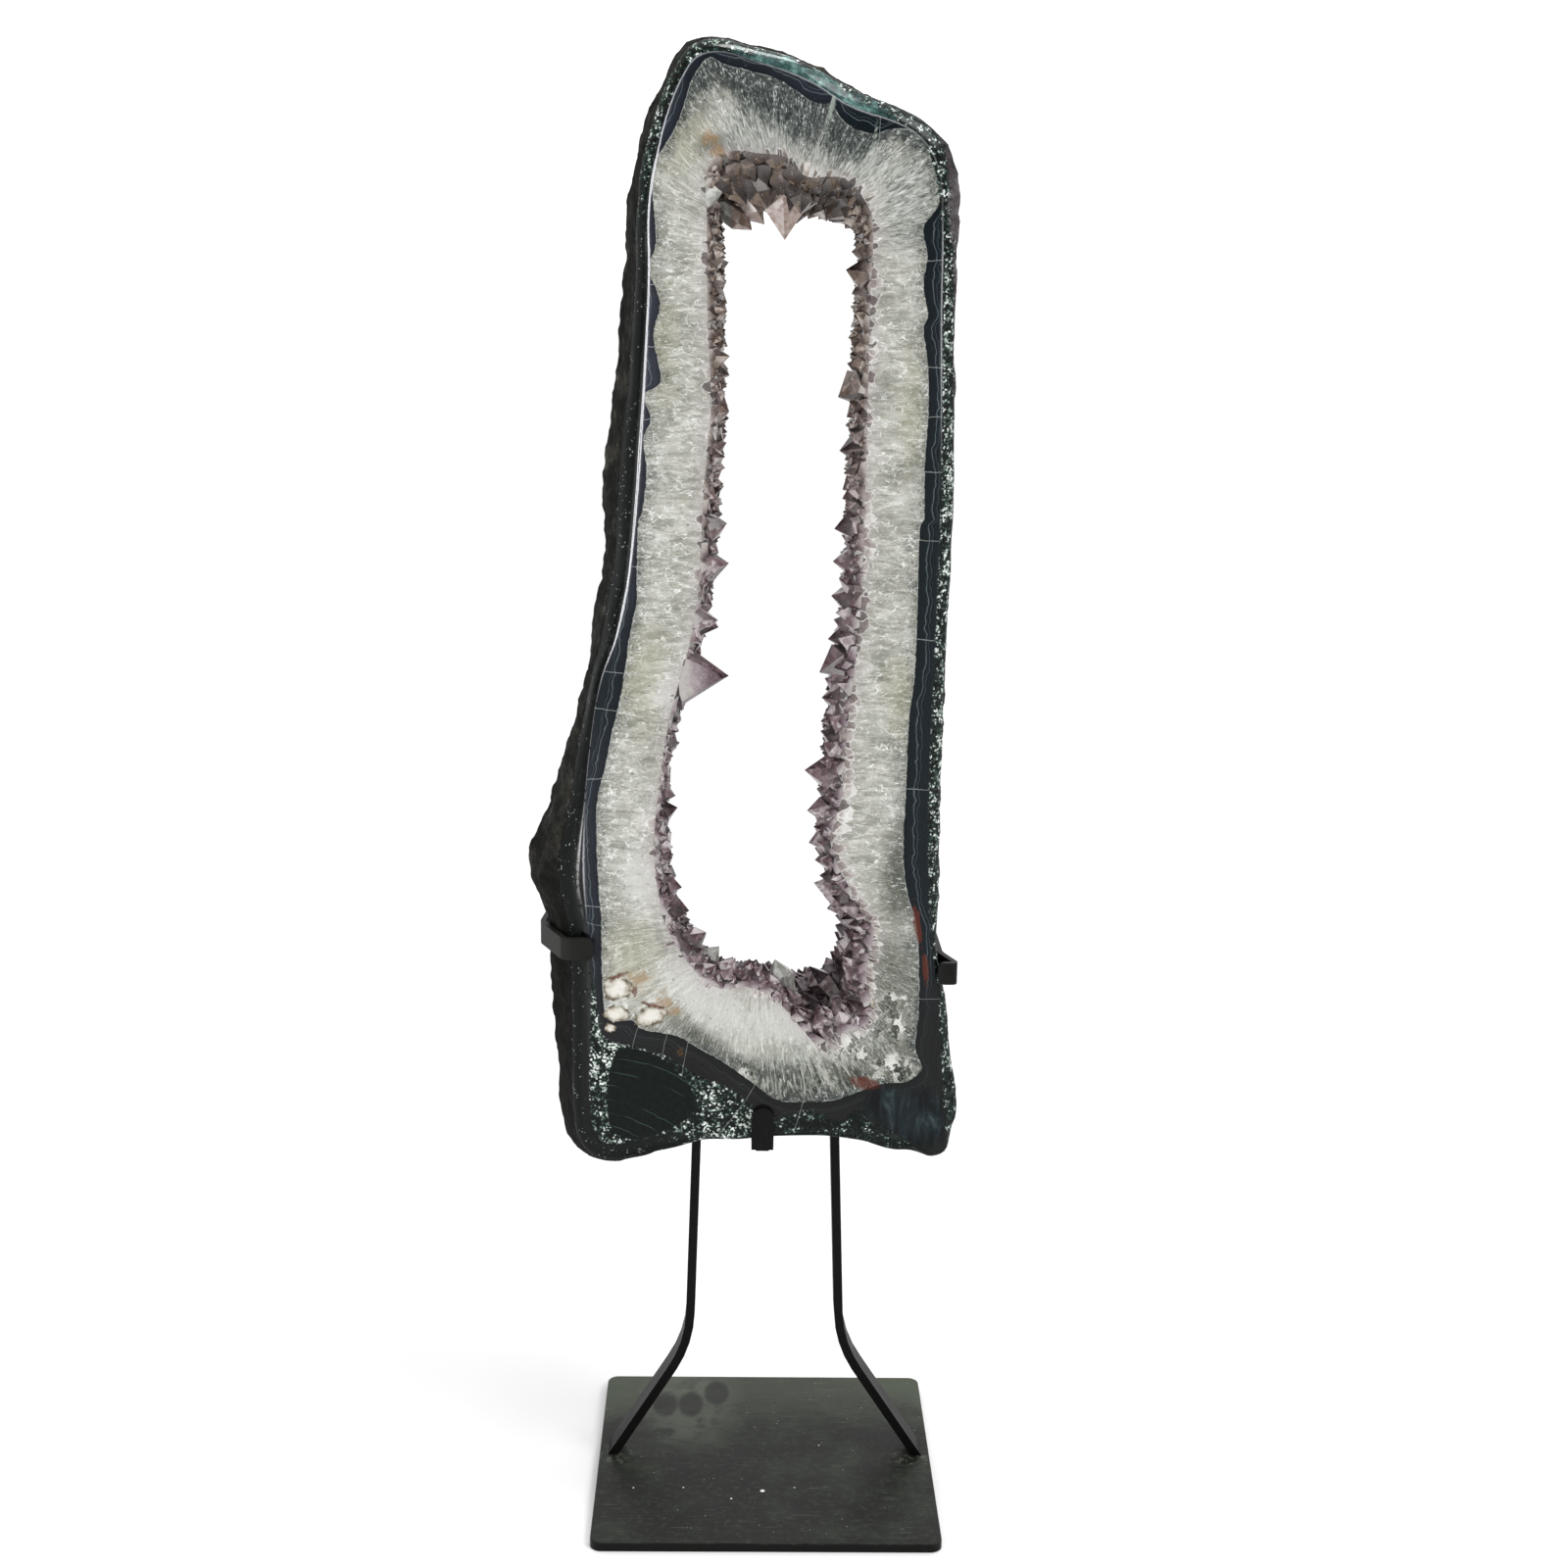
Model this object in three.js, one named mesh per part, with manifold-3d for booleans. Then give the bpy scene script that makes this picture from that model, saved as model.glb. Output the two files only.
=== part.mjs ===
// Amethyst cathedral geode on a welded steel stand.
// Millimetres, +Z up. The origin is the centre of the base plate's underside,
// the polished face looks along -Y, and +X is to the right of the face.

import * as THREE from 'three';
import { mergeVertices } from 'three/addons/utils/BufferGeometryUtils.js';
import Module from 'manifold-3d';

const wasm = await Module();
wasm.setup();

// Stand
const GAP = 0.3;
const PLATE_SIDE = 360;
const PLATE_THICK = 9.5;
const PLATE_CORNER = 12;
const PLATE_CHAMFER = 0.8;
const LEG_WIDTH = 9.5;
const LEG_DEPTH = 32;
const LEG_TOP = 488;
const LEG_BEND = 36;
const LEFT_LEG = { foot: [-165, PLATE_THICK + GAP], knee: [-83, 141], top: [-74, LEG_TOP] };
const RIGHT_LEG = { foot: [165.5, PLATE_THICK + GAP], knee: [78.6, 142], top: [65.2, LEG_TOP] };
const CROSS_BAR = { left: -206, right: 152, height: 32, thick: 9.5 };
const ARM_WIDTH = 22;
const STRAP_HEIGHT = 22;
const STRAP_THICK = 5.5;
const STRAP_BEND = 6;
const FINGER_ROUNDING = 7;
const LEFT_CLAMP_BOTTOM = 618;
const RIGHT_CLAMP_BOTTOM = 596.5;
const LEFT_FINGER_TIP = -176;
const RIGHT_FINGER_TIP = 160;
const HOOK_LEFT = -20;
const HOOK_WIDTH = 22;
const HOOK_TOP = 467;
const HOOK_RUN_TOP = 427.6;
const HOOK_CHAMFER = 5;

// Stone: a sawn slab, its polished face at FACE_Y and its sawn back at BACK_Y
const FACE_Y = -140;
const BACK_Y = -5;
const WIDEST_Y = -85;
const RIM_Y = -131;
const BACK_EDGE_Y = -11;
const BACK_WIDTH_SHARE = 0.86;
const BACK_TOP_DROP_SHARE = 0.015;
const STONE_BOTTOM = 430;
const SAWN_EDGE_ROUNDING = 6;
const ROCK_LUMP = 3.5;
const STRAP_FACE_Y = FACE_Y - 2 * GAP - STRAP_THICK;

// Ring of rays on which every outline of the stone is read:
// they fan out over the top pole and under the bottom pole, and lie level between
const TOP_POLE = [4, 1290];
const BOTTOM_POLE = [-12, 660];
const TOP_FAN_STEPS = 20;
const BOTTOM_FAN_STEPS = 38;
const SIDE_STEPS = 21;

// Crystals
const CRUST_GAP = 0.5;
const WALL_ROWS_Y = [FACE_Y + 2.5, -95, -50, BACK_EDGE_Y];
const [CRUST_FRONT_Y, , , CRUST_BACK_Y] = WALL_ROWS_Y;
const CRUST_THICK = 8;
const CRUST_END_THICK = 3;
const CRUST_BUMP = 1.5;
const CRYSTAL_ROWS_Y = [-124, -84, -42];
const CRYSTALS_PER_ROW = 24;
const CRYSTAL_SIDES = 6;
const ROOT_DEPTH = 3;
const ROOT_SHARE = 0.8;
const LARGE_SHOULDER = 0.5;
const SMALL_SHOULDER = 0.12;
const SPINE_RADIUS = 0.5;
const SMALL_RADII = [9, 14];
const SMALL_STANDS = [0.9, 1.5];
const SMALL_DEPTH_SPREAD = 18;
const SMALL_LEAN_SPREAD = 10;
const SEED = 7;

// Outlines of the stone, clockwise from the top left, as [x, z]
const FACE_OUTLINE = [
  [-76, 1468], [-58, 1468], [-10, 1460], [30, 1445], [60, 1426], [104, 1412], [132, 1392], [149, 1352],
  [149, 1240], [153, 1068], [151, 900], [150, 760], [157, 650], [167, 570], [173, 500], [175, 455],
  [170, 419], [152, 413], [138, 422], [95, 437], [5, 436], [-38, 429], [-100, 437], [-155, 423],
  [-178, 433], [-182, 520], [-181, 600], [-189, 700], [-186, 790], [-175, 885], [-158, 932],
  [-146, 990], [-137, 1080], [-131, 1180], [-127, 1270], [-127, 1335], [-110, 1415], [-92, 1450],
];
const WIDEST_OUTLINE = [
  [-72, 1479], [-40, 1474], [10, 1465], [42, 1448], [80, 1428], [112, 1416], [142, 1393], [159, 1354],
  [157, 1240], [162, 1068], [160, 940], [158, 800], [158, 680], [152, 625], [160, 560], [172, 500],
  [186, 444], [170, 424], [132, 406], [88, 426], [5, 434], [-60, 430], [-91, 414], [-120, 401],
  [-168, 391], [-201, 408], [-210, 440], [-216, 510], [-223, 600], [-221, 645], [-243, 695], [-236, 722],
  [-220, 767], [-196, 850], [-182, 905], [-176, 967], [-166, 1000], [-168, 1055], [-166, 1115],
  [-155, 1175], [-152, 1230], [-148, 1284], [-145, 1330], [-132, 1392], [-114, 1440], [-90, 1474],
];
const HOLE_OUTLINE = [
  [-75, 1362], [-55, 1381], [-20, 1378], [2, 1377], [18, 1358], [50, 1360], [70, 1342], [80, 1318],
  [79, 1240], [78, 1000], [74, 925], [66, 850], [63, 780], [53, 745], [60, 712], [85, 672], [97, 648],
  [90, 608], [97, 558], [66, 543], [45, 528], [24, 553], [5, 575], [-22, 590], [-62, 592], [-100, 640],
  [-113, 682], [-118, 735], [-111, 805], [-102, 865], [-85, 925], [-76, 990], [-72, 1080], [-66, 1150],
  [-70, 1240], [-71, 1325],
];
const BACK_HOLE_OUTLINE = [
  [-66, 1330], [-40, 1346], [20, 1342], [62, 1330], [84, 1300], [88, 1180], [87, 1000], [78, 880],
  [70, 780], [84, 690], [92, 630], [70, 572], [20, 556], [-50, 562], [-94, 610], [-112, 700],
  [-108, 800], [-88, 900], [-74, 1000], [-72, 1180],
];

// Crystals that stand out from the rest, by tip, depth and size
const LARGE_CRYSTALS = [
  { tip: [-2, 1303], y: -112, radius: 19, tilt: 0.05 },
  { tip: [-38, 1320], y: -96, radius: 13, tilt: -0.2 },
  { tip: [44, 1322], y: -100, radius: 12, tilt: 0.15 },
  { tip: [56, 1276], y: -104, radius: 12, tilt: 0.1 },
  { tip: [52, 1161], y: -100, radius: 13, tilt: -0.1 },
  { tip: [53, 1112], y: -84, radius: 12, tilt: 0.1 },
  { tip: [48, 976], y: -88, radius: 12, tilt: 0.15 },
  { tip: [38, 900], y: -110, radius: 13, tilt: -0.1 },
  { tip: [25, 806], y: -108, radius: 17, tilt: 0.1 },
  { tip: [37, 690], y: -96, radius: 14, tilt: 0.2 },
  { tip: [1, 609], y: -116, radius: 15, tilt: 0.1 },
  { tip: [-48, 622], y: -90, radius: 13, tilt: -0.15 },
  { tip: [-98, 770], y: -92, radius: 12, tilt: 0 },
  { tip: [-46, 896], y: -116, radius: 17, tilt: -0.1 },
  { tip: [-57, 944], y: -100, radius: 13, tilt: 0.1 },
  { tip: [-48, 1003], y: -96, radius: 14, tilt: 0.05 },
  { tip: [-48, 1044], y: -110, radius: 12, tilt: -0.1 },
  { tip: [-48, 1155], y: -96, radius: 12, tilt: 0.1 },
  { tip: [-50, 1238], y: -96, radius: 12, tilt: -0.05 },
  { tip: [-57, 1340], y: -122, radius: 11, tilt: 0.3 },
];

// Finishes
const blackSteel = { color: 0x1c1c1d, roughness: 0.6, metalness: 0.4 };
const plateSteel = { color: 0x2b2c28, roughness: 0.42, metalness: 0.6 };
const greyStone = { color: 0x5a6660, roughness: 0.35, metalness: 0 };
const purpleCrystal = { color: 0x8a6f8e, roughness: 0.15, metalness: 0 };

const part = new THREE.Group();

function addPiece(name, geometry, finish) {
  const piece = new THREE.Mesh(geometry, new THREE.MeshStandardMaterial(finish));
  piece.name = name;
  part.add(piece);
}

// Solids joined and cut

function toSolid(geometry) {
  const bare = geometry.clone();
  bare.deleteAttribute('normal');
  bare.deleteAttribute('uv');
  const merged = mergeVertices(bare, 1e-4);
  const corners = merged.index.array;
  const kept = [];
  for (let i = 0; i < corners.length; i += 3) {
    const [a, b, c] = [corners[i], corners[i + 1], corners[i + 2]];
    if (a !== b && b !== c && c !== a) kept.push(a, b, c);
  }
  const vertProperties = new Float32Array(merged.attributes.position.array);
  const triVerts = new Uint32Array(kept);
  return new wasm.Manifold(new wasm.Mesh({ numProp: 3, vertProperties, triVerts }));
}

function fromSolid(solid) {
  const mesh = solid.getMesh();
  const geometry = new THREE.BufferGeometry();
  geometry.setAttribute('position', new THREE.BufferAttribute(new Float32Array(mesh.vertProperties), 3));
  geometry.setIndex(new THREE.BufferAttribute(new Uint32Array(mesh.triVerts), 1));
  return geometry;
}

// Even draws from a fixed seed, so that the same stone grows each time
function drawsFrom(seed) {
  let state = seed;
  return () => {
    state = (state * 1664525 + 1013904223) % 4294967296;
    return state / 4294967296;
  };
}

// Flat bar: a strip of even thickness along a route with rounded bends

function bentRoute(points, bend) {
  const route = new THREE.Path();
  const corners = points.map(([u, v]) => new THREE.Vector2(u, v));
  route.moveTo(corners[0].x, corners[0].y);
  for (let i = 1; i < corners.length - 1; i += 1) {
    const before = corners[i - 1].clone().sub(corners[i]).setLength(bend).add(corners[i]);
    const after = corners[i + 1].clone().sub(corners[i]).setLength(bend).add(corners[i]);
    route.lineTo(before.x, before.y);
    route.quadraticCurveTo(corners[i].x, corners[i].y, after.x, after.y);
  }
  const last = corners[corners.length - 1];
  route.lineTo(last.x, last.y);
  return route.getPoints(4);
}

function stripShape(route, thickness) {
  const left = [];
  const right = [];
  route.forEach((point, i) => {
    const into = point.clone().sub(route[Math.max(i - 1, 0)]).normalize();
    const out = route[Math.min(i + 1, route.length - 1)].clone().sub(point).normalize();
    const along = into.clone().add(out).normalize();
    const cosine = into.lengthSq() && out.lengthSq() ? along.dot(out) : 1;
    const side = new THREE.Vector2(-along.y, along.x).multiplyScalar(thickness / 2 / cosine);
    left.push(point.clone().add(side));
    right.unshift(point.clone().sub(side));
  });
  return new THREE.Shape([...left, ...right]);
}

// Extrusions of a shape drawn in the front view, the side view or the plan
const extruded = (shape, depth) => new THREE.ExtrudeGeometry(shape, { depth, bevelEnabled: false });
const frontExtrusion = (shape, frontY, depth) => extruded(shape, depth)
  .rotateX(Math.PI / 2)
  .translate(0, frontY + depth, 0);
const sideExtrusion = (shape, leftX, width) => extruded(shape, width)
  .rotateX(Math.PI / 2)
  .rotateZ(Math.PI / 2)
  .translate(leftX, 0, 0);
const upwardExtrusion = (shape, bottomZ, height) => extruded(shape, height).translate(0, 0, bottomZ);

const boxBetween = ([x0, y0, z0], [x1, y1, z1]) => new THREE.BoxGeometry(x1 - x0, y1 - y0, z1 - z0)
  .translate((x0 + x1) / 2, (y0 + y1) / 2, (z0 + z1) / 2);

// Stand

function basePlate() {
  const half = PLATE_SIDE / 2 - PLATE_CHAMFER;
  const corner = PLATE_CORNER - PLATE_CHAMFER;
  const shape = new THREE.Shape();
  const middle = half - corner;
  shape.absarc(middle, middle, corner, 0, Math.PI / 2);
  shape.absarc(-middle, middle, corner, Math.PI / 2, Math.PI);
  shape.absarc(-middle, -middle, corner, Math.PI, Math.PI * 1.5);
  shape.absarc(middle, -middle, corner, Math.PI * 1.5, Math.PI * 2);
  return new THREE.ExtrudeGeometry(shape, {
    depth: PLATE_THICK - 2 * PLATE_CHAMFER,
    bevelThickness: PLATE_CHAMFER,
    bevelSize: PLATE_CHAMFER,
    bevelSegments: 1,
    curveSegments: 4,
  }).translate(0, 0, PLATE_CHAMFER);
}

// A bar on edge: it slants up from its foot, bends at the knee and runs up behind the stone
function leg({ foot, knee, top }) {
  const route = bentRoute([foot, knee, top], LEG_BEND);
  const left = [];
  const right = [];
  route.forEach((point, i) => {
    const next = route[Math.min(i + 1, route.length - 1)];
    const previous = route[Math.max(i - 1, 0)];
    const rise = next.clone().sub(previous).normalize().y;
    const halfAcross = LEG_WIDTH / 2 / rise;
    left.push(new THREE.Vector2(point.x - halfAcross, point.y));
    right.unshift(new THREE.Vector2(point.x + halfAcross, point.y));
  });
  return frontExtrusion(new THREE.Shape([...left, ...right]), 0, LEG_DEPTH);
}

const crossBarBottom = LEG_TOP + GAP;
const crossBarTop = crossBarBottom + CROSS_BAR.height;

function crossBar() {
  return boxBetween([CROSS_BAR.left, 0, crossBarBottom], [CROSS_BAR.right, CROSS_BAR.thick, crossBarTop]);
}

function arm(leftX, topZ) {
  return boxBetween([leftX, 0, crossBarTop + GAP], [leftX + ARM_WIDTH, STRAP_THICK, topZ]);
}

// A finger with rounded corners lies on the polished face, and a strap runs from it
// round the side of the stone to the arm behind; the route is seen from above
function clamp(fingerTip, route, bottomZ) {
  const [rootX] = route[0];
  const arcStart = fingerTip - Math.sign(fingerTip - rootX) * FINGER_ROUNDING;
  const topZ = bottomZ + STRAP_HEIGHT;
  const finger = new THREE.Shape();
  finger.moveTo(rootX, bottomZ);
  finger.lineTo(arcStart, bottomZ);
  finger.quadraticCurveTo(fingerTip, bottomZ, fingerTip, bottomZ + FINGER_ROUNDING);
  finger.lineTo(fingerTip, topZ - FINGER_ROUNDING);
  finger.quadraticCurveTo(fingerTip, topZ, arcStart, topZ);
  finger.lineTo(rootX, topZ);
  const strap = upwardExtrusion(stripShape(bentRoute(route, STRAP_BEND), STRAP_THICK), bottomZ, STRAP_HEIGHT);
  return fromSolid(toSolid(strap).add(toSolid(frontExtrusion(finger, STRAP_FACE_Y, STRAP_THICK))));
}

const strapFrontY = STRAP_FACE_Y + STRAP_THICK / 2;
const strapBackY = STRAP_THICK / 2;
const LEFT_CLAMP_ROUTE = [
  [-192, strapFrontY],
  [-204, strapFrontY],
  [-229.6, -87],
  [-222, strapBackY],
  [CROSS_BAR.left - GAP, strapBackY],
];
const RIGHT_CLAMP_ROUTE = [
  [171, strapFrontY],
  [178, strapFrontY],
  [164.6, -108],
  [163, strapBackY],
  [CROSS_BAR.right + GAP, strapBackY],
];

// A strap under the stone, turned up in front of it and up behind it to the cross bar
function bottomHook() {
  const runBottom = HOOK_RUN_TOP - STRAP_THICK;
  const runMiddle = HOOK_RUN_TOP - STRAP_THICK / 2;
  const corners = [[strapFrontY, runMiddle], [strapBackY, runMiddle], [strapBackY, LEG_TOP]];
  const run = sideExtrusion(stripShape(bentRoute(corners, STRAP_BEND), STRAP_THICK), HOOK_LEFT, HOOK_WIDTH);
  const right = HOOK_LEFT + HOOK_WIDTH;
  const radius = HOOK_WIDTH / 2;
  const upstand = new THREE.Shape();
  upstand.moveTo(HOOK_LEFT + HOOK_CHAMFER, runBottom);
  upstand.lineTo(right - HOOK_CHAMFER, runBottom);
  upstand.lineTo(right, runBottom + HOOK_CHAMFER);
  upstand.absarc(HOOK_LEFT + radius, HOOK_TOP - radius, radius, 0, Math.PI);
  upstand.lineTo(HOOK_LEFT, runBottom + HOOK_CHAMFER);
  return fromSolid(toSolid(run).add(toSolid(frontExtrusion(upstand, STRAP_FACE_Y, STRAP_THICK))));
}

// Ring of rays round the hole

const mix = (a, b, share) => a + (b - a) * share;

function ringRays() {
  const rays = [];
  const down = (share) => [0, 1].map((k) => mix(TOP_POLE[k], BOTTOM_POLE[k], share));
  for (let i = 0; i < TOP_FAN_STEPS; i += 1) {
    const angle = Math.PI * (1 - i / TOP_FAN_STEPS);
    rays.push({ from: TOP_POLE, to: [Math.cos(angle), Math.sin(angle)] });
  }
  for (let i = 0; i < SIDE_STEPS; i += 1) rays.push({ from: down(i / SIDE_STEPS), to: [1, 0] });
  for (let i = 0; i < BOTTOM_FAN_STEPS; i += 1) {
    const angle = -Math.PI * (i / BOTTOM_FAN_STEPS);
    rays.push({ from: BOTTOM_POLE, to: [Math.cos(angle), Math.sin(angle)] });
  }
  for (let i = 0; i < SIDE_STEPS; i += 1) rays.push({ from: down(1 - i / SIDE_STEPS), to: [-1, 0] });
  return rays;
}
const RAYS = ringRays();

// How far along a ray an outline lies
function reach(ray, polygon) {
  const [dx, dz] = ray.to;
  let far = 0;
  for (let i = 0; i < polygon.length; i += 1) {
    const a = polygon[i];
    const b = polygon[(i + 1) % polygon.length];
    const sideA = (a.x - ray.from[0]) * dz - (a.y - ray.from[1]) * dx;
    const sideB = (b.x - ray.from[0]) * dz - (b.y - ray.from[1]) * dx;
    if (sideA * sideB > 0 || sideA === sideB) continue;
    const share = sideA / (sideA - sideB);
    const along = (mix(a.x, b.x, share) - ray.from[0]) * dx + (mix(a.y, b.y, share) - ray.from[1]) * dz;
    far = Math.max(far, along);
  }
  return far;
}

// A smooth closed curve through an outline's points, read on every ray
function readOutline(points) {
  const curve = new THREE.SplineCurve([...points, points[0]].map(([x, z]) => new THREE.Vector2(x, z)));
  const polygon = curve.getPoints(points.length * 6);
  return RAYS.map((ray) => reach(ray, polygon));
}

// The back is narrower than the widest outline, and its top is a little lower
const BACK_OUTLINE = WIDEST_OUTLINE.map(([x, z]) => [
  x * BACK_WIDTH_SHARE,
  z - Math.max(z - STONE_BOTTOM, 0) * BACK_TOP_DROP_SHARE,
]);

const faceReach = readOutline(FACE_OUTLINE);
const widestReach = readOutline(WIDEST_OUTLINE);
const backReach = readOutline(BACK_OUTLINE);
const holeReach = readOutline(HOLE_OUTLINE);
const backHoleReach = readOutline(BACK_HOLE_OUTLINE);

const onRay = (ray, distance, y) => new THREE.Vector3(
  ray.from[0] + ray.to[0] * distance,
  y,
  ray.from[1] + ray.to[1] * distance,
);

// Lumps and hollows of the broken rock, as a height over the smooth side
function lump(point) {
  const broad = Math.sin(point.x / 19 + point.z / 31) * Math.sin(point.z / 23 - point.y / 17);
  const fine = Math.sin(point.z / 9.7 + point.y / 13) * Math.cos(point.y / 11 - point.x / 14);
  return ROCK_LUMP * (broad + 0.6 * fine);
}

// Closed ring through rows of points, one row for each turn of the section;
// every panel is split the same way, from its front corner to its back one, so that nested rings fit
function ringGeometry(rows) {
  const columns = rows[0].length;
  const positions = rows.flatMap((row) => row.flatMap((point) => point.toArray()));
  const index = [];
  rows.forEach((row, r) => {
    const nextRow = (r + 1) % rows.length;
    for (let c = 0; c < columns; c += 1) {
      const nextColumn = (c + 1) % columns;
      const [a, b] = [r * columns + c, r * columns + nextColumn];
      const [d, e] = [nextRow * columns + c, nextRow * columns + nextColumn];
      if (row[0].y <= rows[nextRow][0].y) index.push(a, b, d, b, e, d);
      else index.push(a, b, e, a, e, d);
    }
  });
  const geometry = new THREE.BufferGeometry();
  geometry.setAttribute('position', new THREE.Float32BufferAttribute(positions, 3));
  geometry.setIndex(index);
  return geometry;
}

// The hole's wall runs straight from its outline in the face to its outline in the back
function holeWallReach(column, y) {
  const depth = (y - FACE_Y) / (BACK_Y - FACE_Y);
  return mix(holeReach[column], backHoleReach[column], depth);
}

const blend = (from, to, share) => from.map((distance, c) => mix(distance, to[c], share));
const grow = (reaches, by) => reaches.map((distance) => distance + by);

// One row of the stone's surface at a depth, with its share of the rock's lumps
const stoneRow = (y, reaches, lumpShare = 0) => RAYS.map((ray, c) => {
  const smooth = onRay(ray, reaches[c], y);
  return onRay(ray, reaches[c] + lumpShare * lump(smooth), y);
});

function stone() {
  // On the right the rim stands straight behind the face, and on the left the rock flares out slowly
  const rimReach = RAYS.map((ray, c) => mix(faceReach[c], widestReach[c], 0.65 + 0.35 * ray.to[0]));
  return ringGeometry([
    stoneRow(FACE_Y, holeReach),
    stoneRow(FACE_Y, faceReach),
    stoneRow(RIM_Y, rimReach, 0.3),
    stoneRow(-108, blend(rimReach, widestReach, 0.6), 1),
    stoneRow(WIDEST_Y, widestReach, 0.4),
    stoneRow(-60, blend(widestReach, backReach, 0.25), 1),
    stoneRow(-33, blend(widestReach, backReach, 0.65), 1),
    stoneRow(BACK_EDGE_Y, backReach, 0.7),
    stoneRow(BACK_Y, grow(backReach, -SAWN_EDGE_ROUNDING)),
    stoneRow(BACK_Y, grow(backHoleReach, SAWN_EDGE_ROUNDING)),
    ...WALL_ROWS_Y.toReversed().map((y) => stoneRow(y, RAYS.map((_, c) => holeWallReach(c, y)))),
  ]);
}

// Crystal crust that lines the hole

// The crust's outer side follows the hole's wall, and its inner side is bumpy and thin at both ends
const crustOuterRow = (y) => RAYS.map((ray, c) => onRay(ray, holeWallReach(c, y) - CRUST_GAP, y));
const crustInnerRow = (y, thick) => RAYS.map((ray, c) => {
  const bump = CRUST_BUMP * Math.sin(c * 1.7 + y / 12);
  return onRay(ray, holeWallReach(c, y) - CRUST_GAP - thick - bump, y);
});

function crustRing() {
  return ringGeometry([
    crustInnerRow(CRUST_FRONT_Y, CRUST_END_THICK),
    ...WALL_ROWS_Y.map(crustOuterRow),
    crustInnerRow(CRUST_BACK_Y, CRUST_END_THICK),
    crustInnerRow(-40, CRUST_THICK),
    crustInnerRow(-100, CRUST_THICK),
  ]);
}

// A six-sided crystal from its root at base to its point at tip: the point is a pyramid,
// and below the shoulder a prism tapers a little towards the root
function crystal(base, tip, radius, spin, shoulder) {
  const length = base.distanceTo(tip);
  const profile = [[0, 0], [radius * ROOT_SHARE, 0], [radius, length * shoulder], [0, length]];
  const geometry = new THREE.LatheGeometry(profile.map(([r, h]) => new THREE.Vector2(r, h)), CRYSTAL_SIDES);
  const along = tip.clone().sub(base).normalize();
  geometry.rotateY(spin);
  geometry.applyQuaternion(new THREE.Quaternion().setFromUnitVectors(new THREE.Vector3(0, 1, 0), along));
  geometry.translate(base.x, base.y, base.z);
  return toSolid(geometry);
}

// The ray that passes nearest to a point of the face's plane
function nearestColumn([x, z]) {
  let best = 0;
  let least = Infinity;
  RAYS.forEach((ray, c) => {
    const away = Math.hypot(x - ray.from[0], z - ray.from[1]);
    const off = Math.hypot(x - ray.from[0] - ray.to[0] * away, z - ray.from[1] - ray.to[1] * away);
    if (off < least) [least, best] = [off, c];
  });
  return best;
}

// A large crystal's root lies aside from the ray through its tip, by a share of its breadth
function largeCrystal({ tip, y, radius, tilt }) {
  const column = nearestColumn(tip);
  const ray = RAYS[column];
  const base = onRay(ray, holeWallReach(column, y) - ROOT_DEPTH, y);
  base.x += tilt * radius * 2 * ray.to[1];
  base.z -= tilt * radius * 2 * ray.to[0];
  return crystal(base, new THREE.Vector3(tip[0], y, tip[1]), radius, tilt * 3, LARGE_SHOULDER);
}

function smallCrystals() {
  const draw = drawsFrom(SEED);
  const between = ([low, high]) => mix(low, high, draw());
  const spread = (range) => (draw() - 0.5) * range;
  const crystals = [];
  CRYSTAL_ROWS_Y.forEach((rowY, row) => {
    for (let i = 0; i < CRYSTALS_PER_ROW; i += 1) {
      const turn = (i + row / CRYSTAL_ROWS_Y.length + draw() * 0.5) / CRYSTALS_PER_ROW;
      const column = Math.floor(turn * RAYS.length) % RAYS.length;
      const y = rowY + spread(SMALL_DEPTH_SPREAD);
      const radius = between(SMALL_RADII);
      const stand = CRUST_THICK + radius * between(SMALL_STANDS);
      const wall = holeWallReach(column, y);
      const tip = onRay(RAYS[column], wall - stand, y + spread(SMALL_LEAN_SPREAD));
      tip.z += spread(SMALL_LEAN_SPREAD);
      const base = onRay(RAYS[column], wall - ROOT_DEPTH, y);
      crystals.push(crystal(base, tip, radius, draw() * Math.PI, SMALL_SHOULDER));
    }
  });
  return crystals;
}

// The room inside the hole's wall, which the crystals may fill
function roomInHole() {
  const spine = (y) => RAYS.map((ray) => onRay(ray, SPINE_RADIUS, y));
  return ringGeometry([spine(CRUST_FRONT_Y), ...WALL_ROWS_Y.map(crustOuterRow), spine(CRUST_BACK_Y)]);
}

function crystalCrust() {
  const room = toSolid(roomInHole());
  let grown = toSolid(crustRing());
  for (const one of [...LARGE_CRYSTALS.map(largeCrystal), ...smallCrystals()]) {
    const standsInRoom = one.subtract(room).isEmpty();
    grown = grown.add(standsInRoom ? one : one.intersect(room));
  }
  return fromSolid(grown);
}

addPiece('base_plate', basePlate(), plateSteel);
addPiece('leg_left', leg(LEFT_LEG), blackSteel);
addPiece('leg_right', leg(RIGHT_LEG), blackSteel);
addPiece('cross_bar', crossBar(), blackSteel);
addPiece('arm_left', arm(CROSS_BAR.left, LEFT_CLAMP_BOTTOM + STRAP_HEIGHT), blackSteel);
addPiece('arm_right', arm(CROSS_BAR.right - ARM_WIDTH, RIGHT_CLAMP_BOTTOM + STRAP_HEIGHT), blackSteel);
addPiece('clamp_left', clamp(LEFT_FINGER_TIP, LEFT_CLAMP_ROUTE, LEFT_CLAMP_BOTTOM), blackSteel);
addPiece('clamp_right', clamp(RIGHT_FINGER_TIP, RIGHT_CLAMP_ROUTE, RIGHT_CLAMP_BOTTOM), blackSteel);
addPiece('bottom_hook', bottomHook(), blackSteel);
addPiece('geode', stone(), greyStone);
addPiece('amethyst_crust', crystalCrust(), purpleCrystal);

export default part;
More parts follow.
